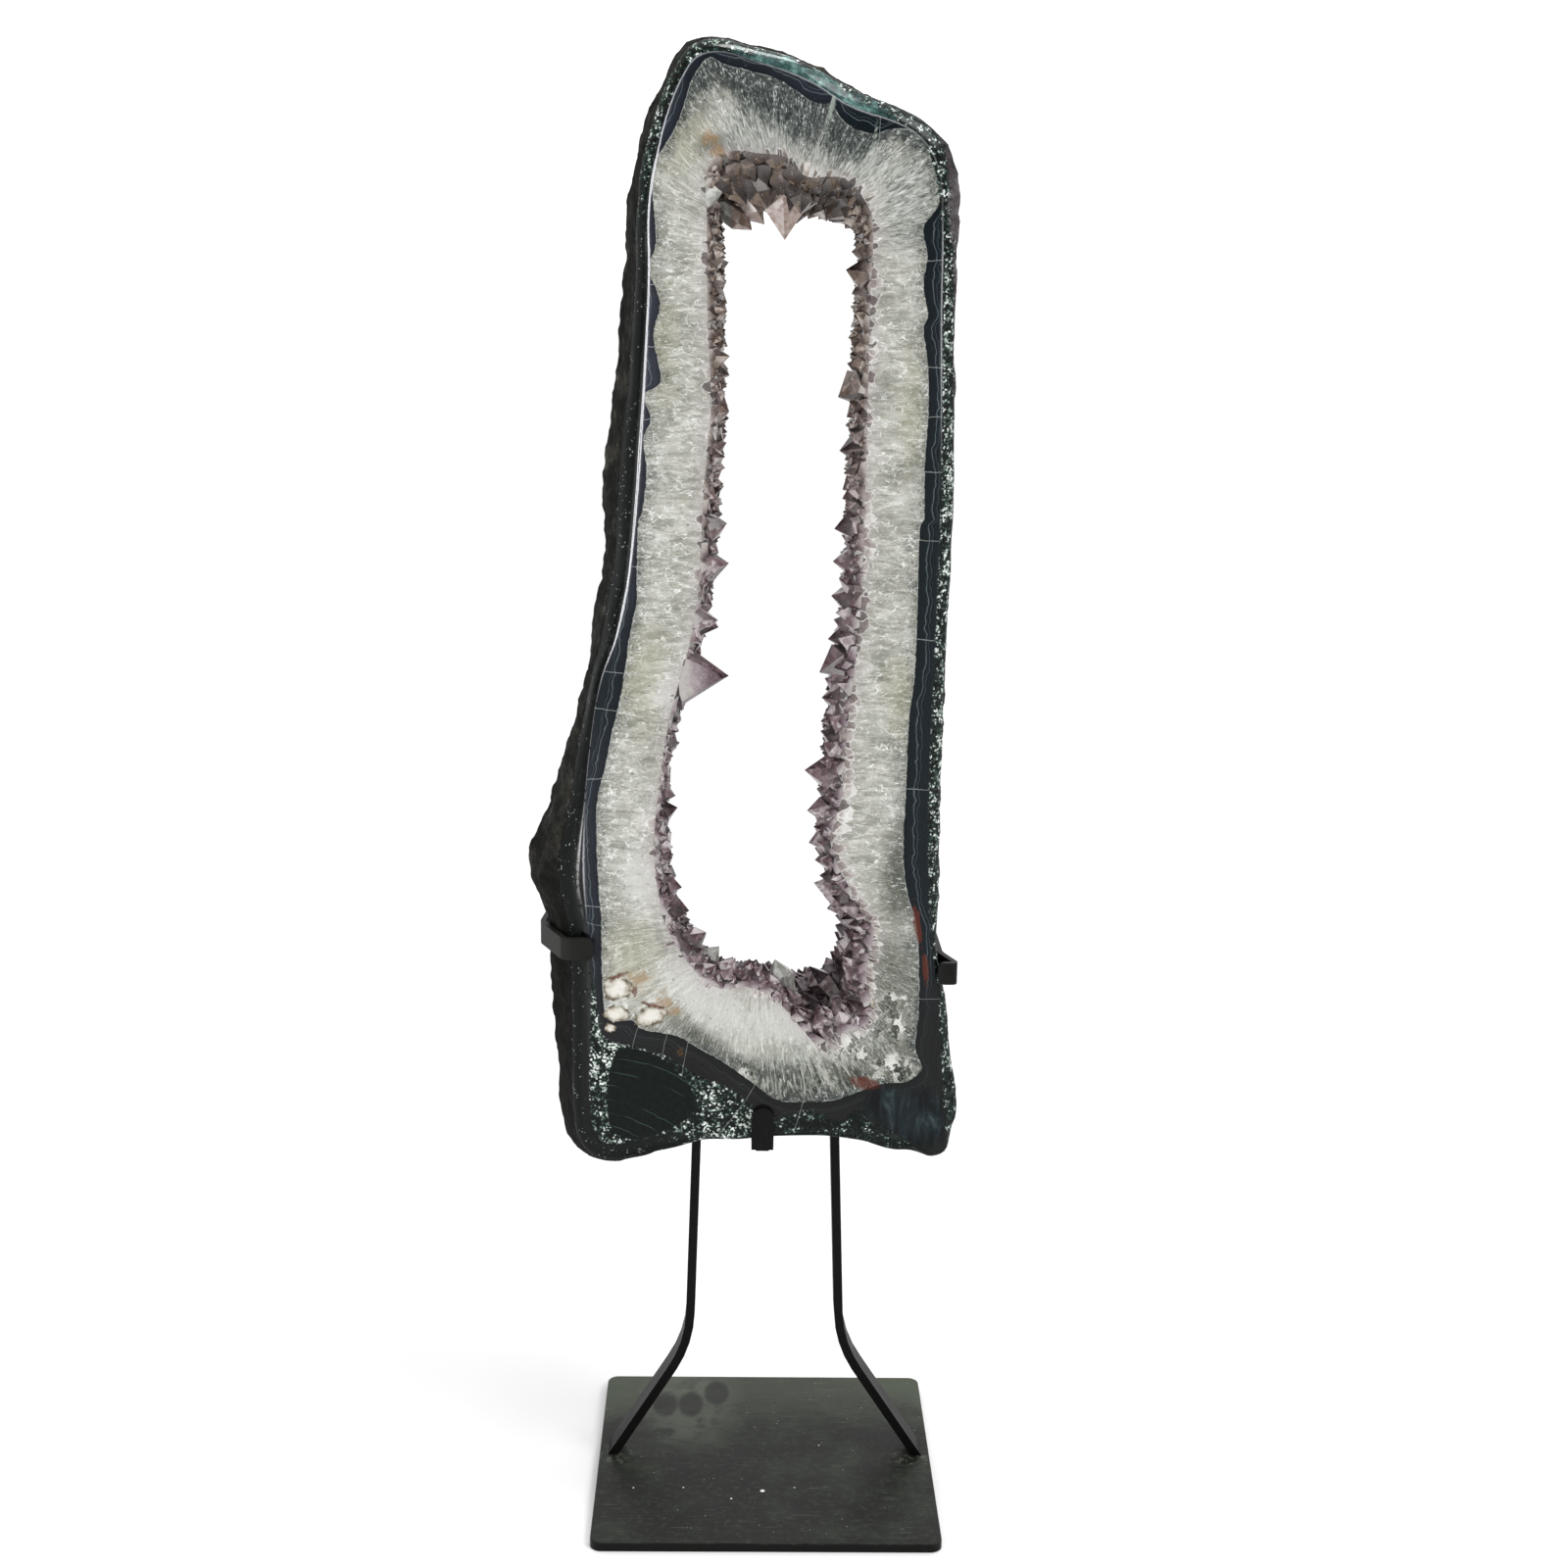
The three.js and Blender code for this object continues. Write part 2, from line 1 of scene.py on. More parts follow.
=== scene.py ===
# Looks of the amethyst cathedral geode on its steel stand.
# The stone and its crystals are measured in millimetres here and scaled to metres as meshes are made.

import math

import bmesh
import bpy
import numpy as np
from mathutils import Matrix, Vector, noise
from mathutils.bvhtree import BVHTree


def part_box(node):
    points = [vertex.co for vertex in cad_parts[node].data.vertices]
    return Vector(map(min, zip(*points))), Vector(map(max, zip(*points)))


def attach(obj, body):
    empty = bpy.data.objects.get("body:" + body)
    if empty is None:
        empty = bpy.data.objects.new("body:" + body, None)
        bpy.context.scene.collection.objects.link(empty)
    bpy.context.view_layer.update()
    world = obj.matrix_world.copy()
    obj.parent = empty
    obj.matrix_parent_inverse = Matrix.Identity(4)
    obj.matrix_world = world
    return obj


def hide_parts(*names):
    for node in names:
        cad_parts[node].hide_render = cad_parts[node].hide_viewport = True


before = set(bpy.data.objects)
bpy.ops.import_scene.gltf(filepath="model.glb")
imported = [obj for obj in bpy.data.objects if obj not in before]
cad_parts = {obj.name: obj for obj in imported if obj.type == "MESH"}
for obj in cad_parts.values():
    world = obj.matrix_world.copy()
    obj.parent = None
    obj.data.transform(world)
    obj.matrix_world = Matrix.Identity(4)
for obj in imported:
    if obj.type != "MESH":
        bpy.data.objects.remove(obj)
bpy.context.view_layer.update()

MM = 0.001
SEED = 11
EYE = Vector((-38.3, -2335.4, 1307.9))

# Ring of rays round the hole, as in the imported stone: fans over the top pole and under the bottom one
TOP_POLE = np.array([4.0, 1290.0])
BOTTOM_POLE = np.array([-12.0, 660.0])
TOP_COLUMNS = 140
SIDE_COLUMNS = 160
BOTTOM_COLUMNS = 220
COLUMNS = TOP_COLUMNS + BOTTOM_COLUMNS + 2 * SIDE_COLUMNS
# In mm: the ring's girth for the patterns that follow it, and the spacing of the columns on its sides
RING_GIRTH = 2200
COLUMN_SPACING = 3.9
# Widths in columns that values are evened out over: at told places, at the foot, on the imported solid
ANCHOR_SMOOTHING = 4
FOOT_SMOOTHING = 1
REACH_SMOOTHING = 2

# Depths in the stone
FACE_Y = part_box("geode")[0].y / MM
BACK_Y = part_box("geode")[1].y / MM
# How far inside the sawn faces the solid is measured
SKIN = 0.1
OUTER_DEPTHS = [FACE_Y + SKIN, -131, -108, -85, -60, -33, -11, BACK_Y - SKIN]
WALL_DEPTHS = [FACE_Y + SKIN, -95, -50, BACK_Y - SKIN]
EDGE_ROUNDING = 7
# What the distance past the face's edge begins at on the rounding, which keeps it apart from the flat face
BEVEL_START = 0.5
# Rows of points round the stone's section, and how far from the sawn faces those of the hole's wall begin
FACE_ROWS = 36
ROUNDING_ROWS = 10
SIDE_ROWS = 44
BACK_ROWS = 10
WALL_ROWS = 24
WALL_MARGIN = 1
# Lumps and chips of the rough side, and how far behind its start it is fully rough, in mm
LUMP_SIZE = 22
LUMP_HEIGHT = 2.4
CHIP_SIZE = 6
CHIP_HEIGHT = 0.9
ROUGH_RISE = 8

# Inner edge of the agate band in the polished face, clockwise from the top left, as (x, z)
AGATE_EDGE = [
    (-84, 1444), (-70, 1461), (-56, 1455), (-30, 1449), (-8, 1443), (10, 1432), (26, 1423), (40, 1422),
    (50, 1409), (62, 1401), (80, 1397), (94, 1402), (112, 1401), (124, 1392), (134, 1376), (141, 1345),
    (134, 1328), (126, 1318), (127, 1305), (130, 1290), (127, 1265), (132, 1238), (128, 1225), (133, 1195),
    (135, 1150), (133, 1100), (134, 1050), (130, 1040), (130, 960), (129, 900), (125, 860), (124, 800),
    (123, 740), (125, 705), (130, 680), (138, 655), (142, 600), (142, 560), (140, 530), (147, 508),
    (132, 494), (108, 492), (85, 483), (60, 474), (30, 472), (5, 474), (-20, 492), (-50, 514), (-78, 530),
    (-95, 540), (-128, 546), (-138, 555), (-162, 557), (-167, 590), (-168, 640), (-168, 660), (-170, 680),
    (-172, 720), (-172, 775), (-165, 805), (-158, 840), (-150, 875), (-145, 905), (-140, 940), (-134, 970),
    (-134, 990), (-133, 1040), (-129, 1055), (-125, 1090), (-128, 1122), (-121, 1140), (-128, 1162),
    (-112, 1175), (-119, 1215), (-113, 1245), (-123, 1275), (-117, 1300), (-120, 1340), (-121, 1365),
    (-108, 1386), (-97, 1406), (-89, 1430),
]
# Crumbly green and white rim below the agate, round the pocket
CRUMBS = [
    (-190, 606), (-178, 598), (-172, 560), (-166, 536), (-140, 528), (-105, 518), (-76, 500), (-40, 484),
    (-22, 470), (-8, 452), (14, 458), (40, 462), (66, 452), (84, 464), (104, 446), (118, 436), (104, 418),
    (0, 418), (-100, 418), (-190, 400), (-205, 480),
]
# Dark green chalcedony pocket in the lower left corner
POCKET = [
    (-164, 470), (-160, 505), (-152, 525), (-130, 525), (-108, 516), (-92, 500), (-80, 486),
    (-76, 468), (-82, 455), (-105, 440), (-135, 430), (-158, 440),
]
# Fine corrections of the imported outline, in mm outwards: (x, z, flat of the face, everything behind it)
TRIM = [
    (-76, 1480, 12, 13), (-50, 1472, -2, 2), (-10, 1467, -3, 0), (60, 1432, -3, 1), (100, 1418, -2, 2),
    (140, 1394, 0, 4), (152, 1375, -3, 1), (156, 1345, -4, -2), (155, 1318, -3, -1), (154, 1290, -1, 0),
    (155, 1200, 0, 0), (160, 700, 0, 0), (160, 640, 0, 4), (166, 575, 1, 14), (170, 530, 1, 12),
    (178, 474, 0, 13), (179, 455, 0, 0), (168, 426, 2, 2), (153, 415, 8, 8), (136, 424, -6, -5),
    (116, 434, -3, -1), (95, 437, 0, 0), (-200, 430, 1, 4), (-210, 500, 0, 1), (-220, 640, 0, 1),
    (-238, 708, 0, 4), (-225, 760, 0, 0), (-160, 1060, 0, 0), (-150, 1225, 0, 1), (-145, 1290, 0, 0),
    (-140, 1350, 0, 2), (-130, 1390, 0, 3), (-100, 1458, 1, 1),
]
# Sharper corrections at the foot of the right side, on top of those
FOOT_TRIM = [
    (165, 575, 0, 0), (167, 544, -4, 0), (172, 464, -4, -2), (173, 452, -2, -6), (176, 436, 3, 0),
    (176, 424, 9, 3), (162, 412, 6, 0), (150, 412, 4, 0), (139, 427, -13, -4), (131, 436, -20, -9),
    (112, 442, -19, -6), (92, 436, 0, -3), (76, 436, 0, 0),
]
# How far past the face's edge the rock's rough side begins: (x, z, mm)
ROUGH_START = [
    (-90, 1450, 9), (0, 1462, 12), (110, 1410, 8), (140, 1392, 5), (152, 1372, 1), (155, 1340, 0),
    (154, 1310, 2), (153, 1270, 6), (153, 900, 9), (172, 520, 9), (95, 437, 10), (-155, 423, 12),
    (-182, 520, 13), (-189, 640, 10), (-189, 740, 10), (-165, 900, 16), (-150, 1000, 20), (-127, 1270, 16),
    (-120, 1380, 10),
]
# How far the crystals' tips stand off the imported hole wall, by place round the ring: (x, z, mm)
CRUST_STAND = [
    (-60, 1375, 26), (0, 1378, 36), (50, 1360, 30), (80, 1310, 17), (78, 1000, 23), (66, 850, 27),
    (55, 745, 22), (95, 650, 32), (90, 580, 28), (40, 530, 28), (-20, 590, 26), (-100, 640, 14),
    (-118, 735, 11), (-111, 805, 6), (-102, 865, 7), (-85, 925, 15), (-72, 1080, 18), (-70, 1240, 18),
    (-71, 1325, 14),
]
# How broad the main crystals are from axis to edge, by place round the ring: (x, z, mm)
CRUST_SIZE = [
    (-60, 1375, 12), (0, 1378, 14), (50, 1360, 12), (80, 1310, 8), (78, 1000, 9), (66, 850, 9.5),
    (55, 745, 9), (95, 650, 10), (40, 530, 11), (-20, 590, 11), (-100, 640, 11), (-118, 735, 11),
    (-111, 805, 10), (-85, 925, 10), (-72, 1080, 9), (-71, 1325, 8),
]
# Share of the stand that the ground between the crystals takes up, and how far from a sawn face it gets there
GROUND_SHARE = 0.45
GROUND_RISE = 16


# Ring coordinates

def ring_rays():
    """Start and direction of each ray in the XZ plane, clockwise from the left of the top pole."""
    top = np.linspace(math.pi, 0, TOP_COLUMNS, endpoint=False)
    bottom = np.linspace(0, -math.pi, BOTTOM_COLUMNS, endpoint=False)
    down = np.linspace(0, 1, SIDE_COLUMNS, endpoint=False)[:, None]
    right_starts = TOP_POLE + (BOTTOM_POLE - TOP_POLE) * down
    left_starts = BOTTOM_POLE + (TOP_POLE - BOTTOM_POLE) * down
    starts = np.vstack([
        np.tile(TOP_POLE, (TOP_COLUMNS, 1)),
        right_starts,
        np.tile(BOTTOM_POLE, (BOTTOM_COLUMNS, 1)),
        left_starts,
    ])
    ways = np.vstack([
        np.stack([np.cos(top), np.sin(top)], 1),
        np.tile([1.0, 0.0], (SIDE_COLUMNS, 1)),
        np.stack([np.cos(bottom), np.sin(bottom)], 1),
        np.tile([-1.0, 0.0], (SIDE_COLUMNS, 1)),
    ])
    return starts, ways


STARTS, WAYS = ring_rays()


def ring_place(points):
    """The column, as a real number, and the distance along its ray of each point (x, z)."""
    x, z = np.asarray(points, float).T
    over_top = np.arctan2(z - TOP_POLE[1], x - TOP_POLE[0])
    under_bottom = np.arctan2(z - BOTTOM_POLE[1], x - BOTTOM_POLE[0])
    share = (TOP_POLE[1] - z) / (TOP_POLE[1] - BOTTOM_POLE[1])
    axis_x = TOP_POLE[0] + (BOTTOM_POLE[0] - TOP_POLE[0]) * share
    right_column = TOP_COLUMNS + share * SIDE_COLUMNS
    left_column = COLUMNS - share * SIDE_COLUMNS
    column = np.where(x > axis_x, right_column, left_column)
    distance = np.abs(x - axis_x)
    top = z >= TOP_POLE[1]
    bottom = z <= BOTTOM_POLE[1]
    column = np.where(top, (1 - over_top / math.pi) * TOP_COLUMNS, column)
    column = np.where(bottom, TOP_COLUMNS + SIDE_COLUMNS - under_bottom / math.pi * BOTTOM_COLUMNS, column)
    distance = np.where(top, np.hypot(x - TOP_POLE[0], z - TOP_POLE[1]), distance)
    distance = np.where(bottom, np.hypot(x - BOTTOM_POLE[0], z - BOTTOM_POLE[1]), distance)
    return column % COLUMNS, distance


def smooth_outline(points, steps=8):
    """Points of a closed curve that runs smoothly through the given ones."""
    p = np.asarray(points, float)
    before, after, beyond = np.roll(p, 1, 0), np.roll(p, -1, 0), np.roll(p, -2, 0)
    t = np.arange(steps)[None, :, None] / steps
    a, b, c, d = (q[:, None, :] for q in (before, p, after, beyond))
    curve = 0.5 * (2 * b + (c - a) * t + (2 * a - 5 * b + 4 * c - d) * t**2 + (3 * b - a - 3 * c + d) * t**3)
    return curve.reshape(-1, 2)


def outline_reach(points):
    """How far along each ray a closed outline lies."""
    a = smooth_outline(points)
    b = np.roll(a, -1, 0)
    to_a = a[None] - STARTS[:, None]
    to_b = b[None] - STARTS[:, None]
    off_a = to_a[..., 0] * WAYS[:, None, 1] - to_a[..., 1] * WAYS[:, None, 0]
    off_b = to_b[..., 0] * WAYS[:, None, 1] - to_b[..., 1] * WAYS[:, None, 0]
    share = off_a / np.where(off_a == off_b, 1, off_a - off_b)
    hit = to_a + (to_b - to_a) * share[..., None]
    along = (hit * WAYS[:, None]).sum(-1)
    crossed = (off_a * off_b <= 0) & (off_a != off_b)
    return np.where(crossed, along, 0).max(1)


def smoothed(values, width):
    """Values round the ring, evened out over a width in columns."""
    reach = np.arange(-3 * width, 3 * width + 1)
    weights = np.exp(-0.5 * (reach / width) ** 2)
    return sum(np.roll(values, k) * w for k, w in zip(reach, weights)) / weights.sum()


def around(anchors, width=ANCHOR_SMOOTHING):
    """Values (x, z, value) at places round the ring, evened out over a width in columns."""
    anchors = np.asarray(anchors, float)
    columns, _ = ring_place(anchors[:, :2])
    order = np.argsort(columns)
    values = np.interp(np.arange(COLUMNS), columns[order], anchors[order, 2], period=COLUMNS)
    return smoothed(values, width)


def trim_around(part):
    """Corrections of the outline round the ring: part 0 for the face's flat, 1 for all behind it."""
    broad = around([(x, z, trim[part]) for x, z, *trim in TRIM])
    sharp = around([(x, z, trim[part]) for x, z, *trim in FOOT_TRIM], FOOT_SMOOTHING)
    return broad + sharp


# Shape of the stone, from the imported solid

def solid_tree(name):
    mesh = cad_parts[name].data
    return BVHTree.FromPolygons([v.co for v in mesh.vertices], [p.vertices for p in mesh.polygons])


def solid_reaches(tree, y):
    """How far along each ray the stone's hole wall and its outer side lie, at a depth."""
    wall, outer = [], []
    for start, way in zip(STARTS, WAYS):
        origin = Vector((start[0], y, start[1])) * MM
        direction = Vector((way[0], 0, way[1]))
        near = tree.ray_cast(origin, direction)[0]
        far = tree.ray_cast(near + direction * MM, direction)[0]
        wall.append((near - origin).length / MM)
        outer.append((far - origin).length / MM)
    return smoothed(np.array(wall), REACH_SMOOTHING), smoothed(np.array(outer), REACH_SMOOTHING)


def between_depths(depths, reaches, y):
    """Reaches at one depth, on a curve through those known at several depths."""
    y = min(max(y, depths[0]), depths[-1])
    k = min(np.searchsorted(depths, y, side="right") - 1, len(depths) - 2)
    share = (y - depths[k]) / (depths[k + 1] - depths[k])
    return reaches[k] * (1 - share) + reaches[k + 1] * share


stone_tree = solid_tree("geode")
packed_reaches = [solid_reaches(stone_tree, y) for y in OUTER_DEPTHS]
packed_walls = [solid_reaches(stone_tree, y)[0] for y in WALL_DEPTHS]
trims = [trim_around(0)] + [trim_around(1)] * (len(OUTER_DEPTHS) - 1)
outer_reaches = [outer + trim for (_, outer), trim in zip(packed_reaches, trims)]
crust_stand = around(CRUST_STAND)
rough_start = around(ROUGH_START)
face_reach = outer_reaches[0]
hole_reach = packed_walls[0]


def inward_share(y):
    """0 at the sawn faces, 1 deeper in the hole."""
    share = min(max(min(y - FACE_Y, BACK_Y - y) / GROUND_RISE, 0), 1)
    return share * share * (3 - 2 * share)


def wall_at(y):
    return between_depths(WALL_DEPTHS, packed_walls, y)


def ground_at(y):
    """How far along each ray the ground lies that the crystals grow from."""
    return wall_at(y) - crust_stand * GROUND_SHARE * inward_share(y)


def place(distance, y):
    """Points (x, y, z) on all the rays."""
    flat = STARTS + WAYS * np.asarray(distance)[:, None]
    return np.stack([flat[:, 0], np.broadcast_to(y, COLUMNS), flat[:, 1]], 1)


def rock_relief(point):
    """Lumps and small breaks of the rock's rough side, in mm."""
    lumps = noise.fractal(Vector(point) / LUMP_SIZE, 0.9, 2.1, 4)
    chips = noise.noise(Vector(point) / CHIP_SIZE)
    return LUMP_HEIGHT * lumps + CHIP_HEIGHT * chips


def roughness(past):
    """0 where the bevel is smooth and 1 on the rock's rough side, all round the ring."""
    return np.clip((past - rough_start) / ROUGH_RISE, 0, 1)


def side_row(y, inset=0.0):
    """Points of the stone's outer side at a depth."""
    return place(between_depths(OUTER_DEPTHS, outer_reaches, y) - inset, y)


def stone_rows():
    """Rows of points round the stone's section, each with its distance past the face's edge and roughness."""
    rows = []
    smooth = np.zeros(COLUMNS)
    for share in np.linspace(0, 1, FACE_ROWS):
        distance = hole_reach + (face_reach - EDGE_ROUNDING - hole_reach) * share
        rows.append((place(distance, FACE_Y), 0.0, smooth))
    for turn in np.linspace(0, 0.5 * math.pi, ROUNDING_ROWS)[1:]:
        inset = EDGE_ROUNDING * (1 - math.sin(turn))
        depth = EDGE_ROUNDING * (1 - math.cos(turn))
        rows.append((side_row(FACE_Y + depth, inset), depth + BEVEL_START, roughness(depth)))
    for y in np.linspace(FACE_Y + EDGE_ROUNDING, BACK_Y - EDGE_ROUNDING, SIDE_ROWS)[1:]:
        rows.append((side_row(y), y - FACE_Y, roughness(y - FACE_Y)))
    back_edge = between_depths(OUTER_DEPTHS, outer_reaches, BACK_Y - EDGE_ROUNDING) - EDGE_ROUNDING
    back_hole = ground_at(BACK_Y)
    for share in np.linspace(0, 1, BACK_ROWS):
        rows.append((place(back_edge + (back_hole - back_edge) * share, BACK_Y), 0.0, smooth))
    for y in np.linspace(BACK_Y - WALL_MARGIN, FACE_Y + WALL_MARGIN, WALL_ROWS):
        rows.append((place(ground_at(y), y), 0.0, smooth))
    return rows


def polygon_distance(points, outline):
    """Distance of each point to a closed outline, positive inside it."""
    a = smooth_outline(outline)
    b = np.roll(a, -1, 0)
    edge = b - a
    to = points[:, None] - a[None]
    share = np.clip((to * edge).sum(-1) / (edge * edge).sum(-1), 0, 1)
    gap = np.linalg.norm(to - edge * share[..., None], axis=-1).min(1)
    x, z = points[:, None, 0], points[:, None, 1]
    spans = (a[None, :, 1] > z) != (b[None, :, 1] > z)
    height = np.where(edge[:, 1] == 0, 1, edge[:, 1])
    crossing = a[None, :, 0] + (z - a[None, :, 1]) / height * edge[None, :, 0]
    inside = (spans & (x < crossing)).sum(1) % 2 == 1
    return np.where(inside, gap, -gap)


def patches(points, spots):
    """1 in the middle of soft oval spots (x, z, half width, half height, turn), 0 at their edge."""
    value = np.full(len(points), -1.0)
    for x, z, wide, high, turn in spots:
        cosine, sine = math.cos(math.radians(turn)), math.sin(math.radians(turn))
        dx, dz = points[:, 0] - x, points[:, 1] - z
        u = (dx * cosine + dz * sine) / wide
        v = (dz * cosine - dx * sine) / high
        value = np.maximum(value, 1 - np.hypot(u, v))
    return value


# Meshes

def add_mesh(name, points, faces, fields, smooth):
    """A mesh object from points in mm, with named number fields on its vertices."""
    mesh = bpy.data.meshes.new(name)
    mesh.from_pydata((np.asarray(points) * MM).tolist(), [], faces)
    for field, values in fields.items():
        values = np.asarray(values, np.float32)
        if values.ndim == 1:
            mesh.attributes.new(field, "FLOAT", "POINT").data.foreach_set("value", values)
        else:
            mesh.attributes.new(field, "FLOAT_VECTOR", "POINT").data.foreach_set("vector", values.ravel())
    mesh.polygons.foreach_set("use_smooth", [smooth] * len(mesh.polygons))
    mesh.validate()
    piece = bpy.data.objects.new(name, mesh)
    bpy.context.scene.collection.objects.link(piece)
    return piece


def flow_of(columns, distance):
    """Seamless coordinates in mm: two round the ring, and one across the stone from hole to edge."""
    angle = columns / COLUMNS * 2 * math.pi
    radius = RING_GIRTH / (2 * math.pi)
    return np.stack([radius * np.cos(angle), radius * np.sin(angle), distance - hole_reach[columns]], 1)


# Cracks across the agate, from the stone's edge inwards: (x, z) at the edge, then at the inner end
CRACKS = [
    ((-127, 1284), (-95, 1280)), ((-127, 1262), (-100, 1260)), ((-130, 1206), (-92, 1204)),
    ((-131, 1160), (-105, 1163)), ((-134, 1138), (-106, 1142)), ((-144, 1003), (-108, 1001)),
    ((-160, 902), (-122, 899)), ((-166, 866), (-115, 858)), ((-186, 797), (-140, 800)),
    ((-188, 672), (-145, 668)), ((-185, 655), (-110, 645)), ((-128, 1346), (-86, 1361)),
    ((149, 1288), (112, 1284)), ((151, 1190), (108, 1192)), ((152, 1146), (95, 1143)),
    ((152, 1094), (105, 1096)), ((152, 1030), (118, 1031)), ((151, 935), (102, 940)), ((151, 790), (98, 793)),
    ((160, 580), (105, 584)), ((46, 1446), (32, 1395)), ((84, 1416), (72, 1350)), ((-134, 425), (-130, 556)),
    ((-104, 428), (-101, 552)), ((-88, 430), (-80, 546)), ((-60, 430), (-10, 505)), ((20, 436), (36, 520)),
]


def crack_offset(columns, distance):
    """Distance in mm to the nearest crack's line, and how far past the crack's inner end a point lies.

    The distance's sign alternates from crack to crack, so that it never jumps between two of them.
    """
    outer = ring_place([crack[0] for crack in CRACKS])
    inner = ring_place([crack[1] for crack in CRACKS])
    slope = (inner[0] - outer[0]) / (inner[1] - outer[1])
    order = np.argsort(outer[0])
    sign = np.where(np.arange(len(CRACKS)) % 2 == 0, 1, -1)
    at = outer[0][order][None] + slope[order][None] * (distance[:, None] - outer[1][order][None])
    gap = (columns[:, None] - at + COLUMNS / 2) % COLUMNS - COLUMNS / 2
    nearest = np.abs(gap).argmin(1)
    rows = np.arange(len(columns))
    end = inner[1][order][nearest]
    return gap[rows, nearest] * sign[nearest] * COLUMN_SPACING, distance - end


# Soft spots in the polished face, by what they are: (x, z, half width, half height, turn in degrees)
SPOTS = {
    "rust": [
        (-62, 463, 8, 10, 30), (-46, 462, 6, 9, 30), (139, 655, 5, 30, 8), (148, 612, 4, 22, 5),
        (92, 492, 22, 9, -10), (-152, 601, 14, 3, 20), (-119, 571, 15, 3, -15), (-136, 585, 4, 9, 0),
    ],
    "calcite": [
        (-153, 588, 17, 15, 0), (-154, 562, 15, 9, 0), (-120, 560, 20, 11, 20), (93, 576, 7, 8, 0),
        (-160, 547, 7, 5, 0), (100, 445, 5, 5, 0),
    ],
    "shards": [
        (80, 528, 36, 24, 10), (122, 508, 40, 20, 0), (112, 560, 34, 34, 0), (45, 500, 26, 22, 0),
        (-25, 500, 14, 22, 20),
    ],
    "stain": [
        (-106, 574, 16, 13, 0), (-132, 596, 16, 14, 0), (-70, 1392, 14, 12, 0), (-90, 524, 6, 9, 0),
        (-96, 566, 9, 7, 0), (-60, 1380, 12, 8, 0),
    ],
    "olive": [
        (-128, 900, 34, 70, 0), (-96, 1390, 44, 36, 20), (-140, 620, 40, 50, 0), (118, 880, 24, 60, 0),
        (120, 1150, 20, 80, 0), (-112, 1210, 20, 80, 0),
    ],
    "moss": [
        (112, 520, 46, 60, 0), (112, 600, 44, 70, 0), (118, 700, 24, 80, 0), (-70, 536, 66, 16, -35),
        (60, 500, 70, 26, 0), (150, 560, 14, 90, 0), (-60, 1385, 34, 14, 0),
    ],
    "comb": [
        (-20, 1400, 60, 46, 0), (60, 1378, 70, 30, -15), (110, 1340, 34, 60, 0),
        (80, 545, 44, 40, 0), (20, 500, 60, 30, 0),
    ],
    "milk": [
        (-60, 574, 84, 34, -38), (10, 552, 66, 26, -10), (-96, 880, 36, 30, 0), (-130, 700, 30, 50, 0),
    ],
    "blades": [(24, 496, 66, 26, 0), (66, 500, 40, 22, 0)],
    "seams": [(41, 1422, 3.2, 34, -14), (79, 1384, 2.6, 46, -6), (50, 1436, 6, 7, 30)],
    "foot": [(142, 452, 44, 46, 0), (112, 470, 30, 26, 0)],
    "lichen": [(-98, 1450, 9, 22, -30), (-60, 1474, 10, 4, 0), (146, 1392, 7, 10, 30)],
}


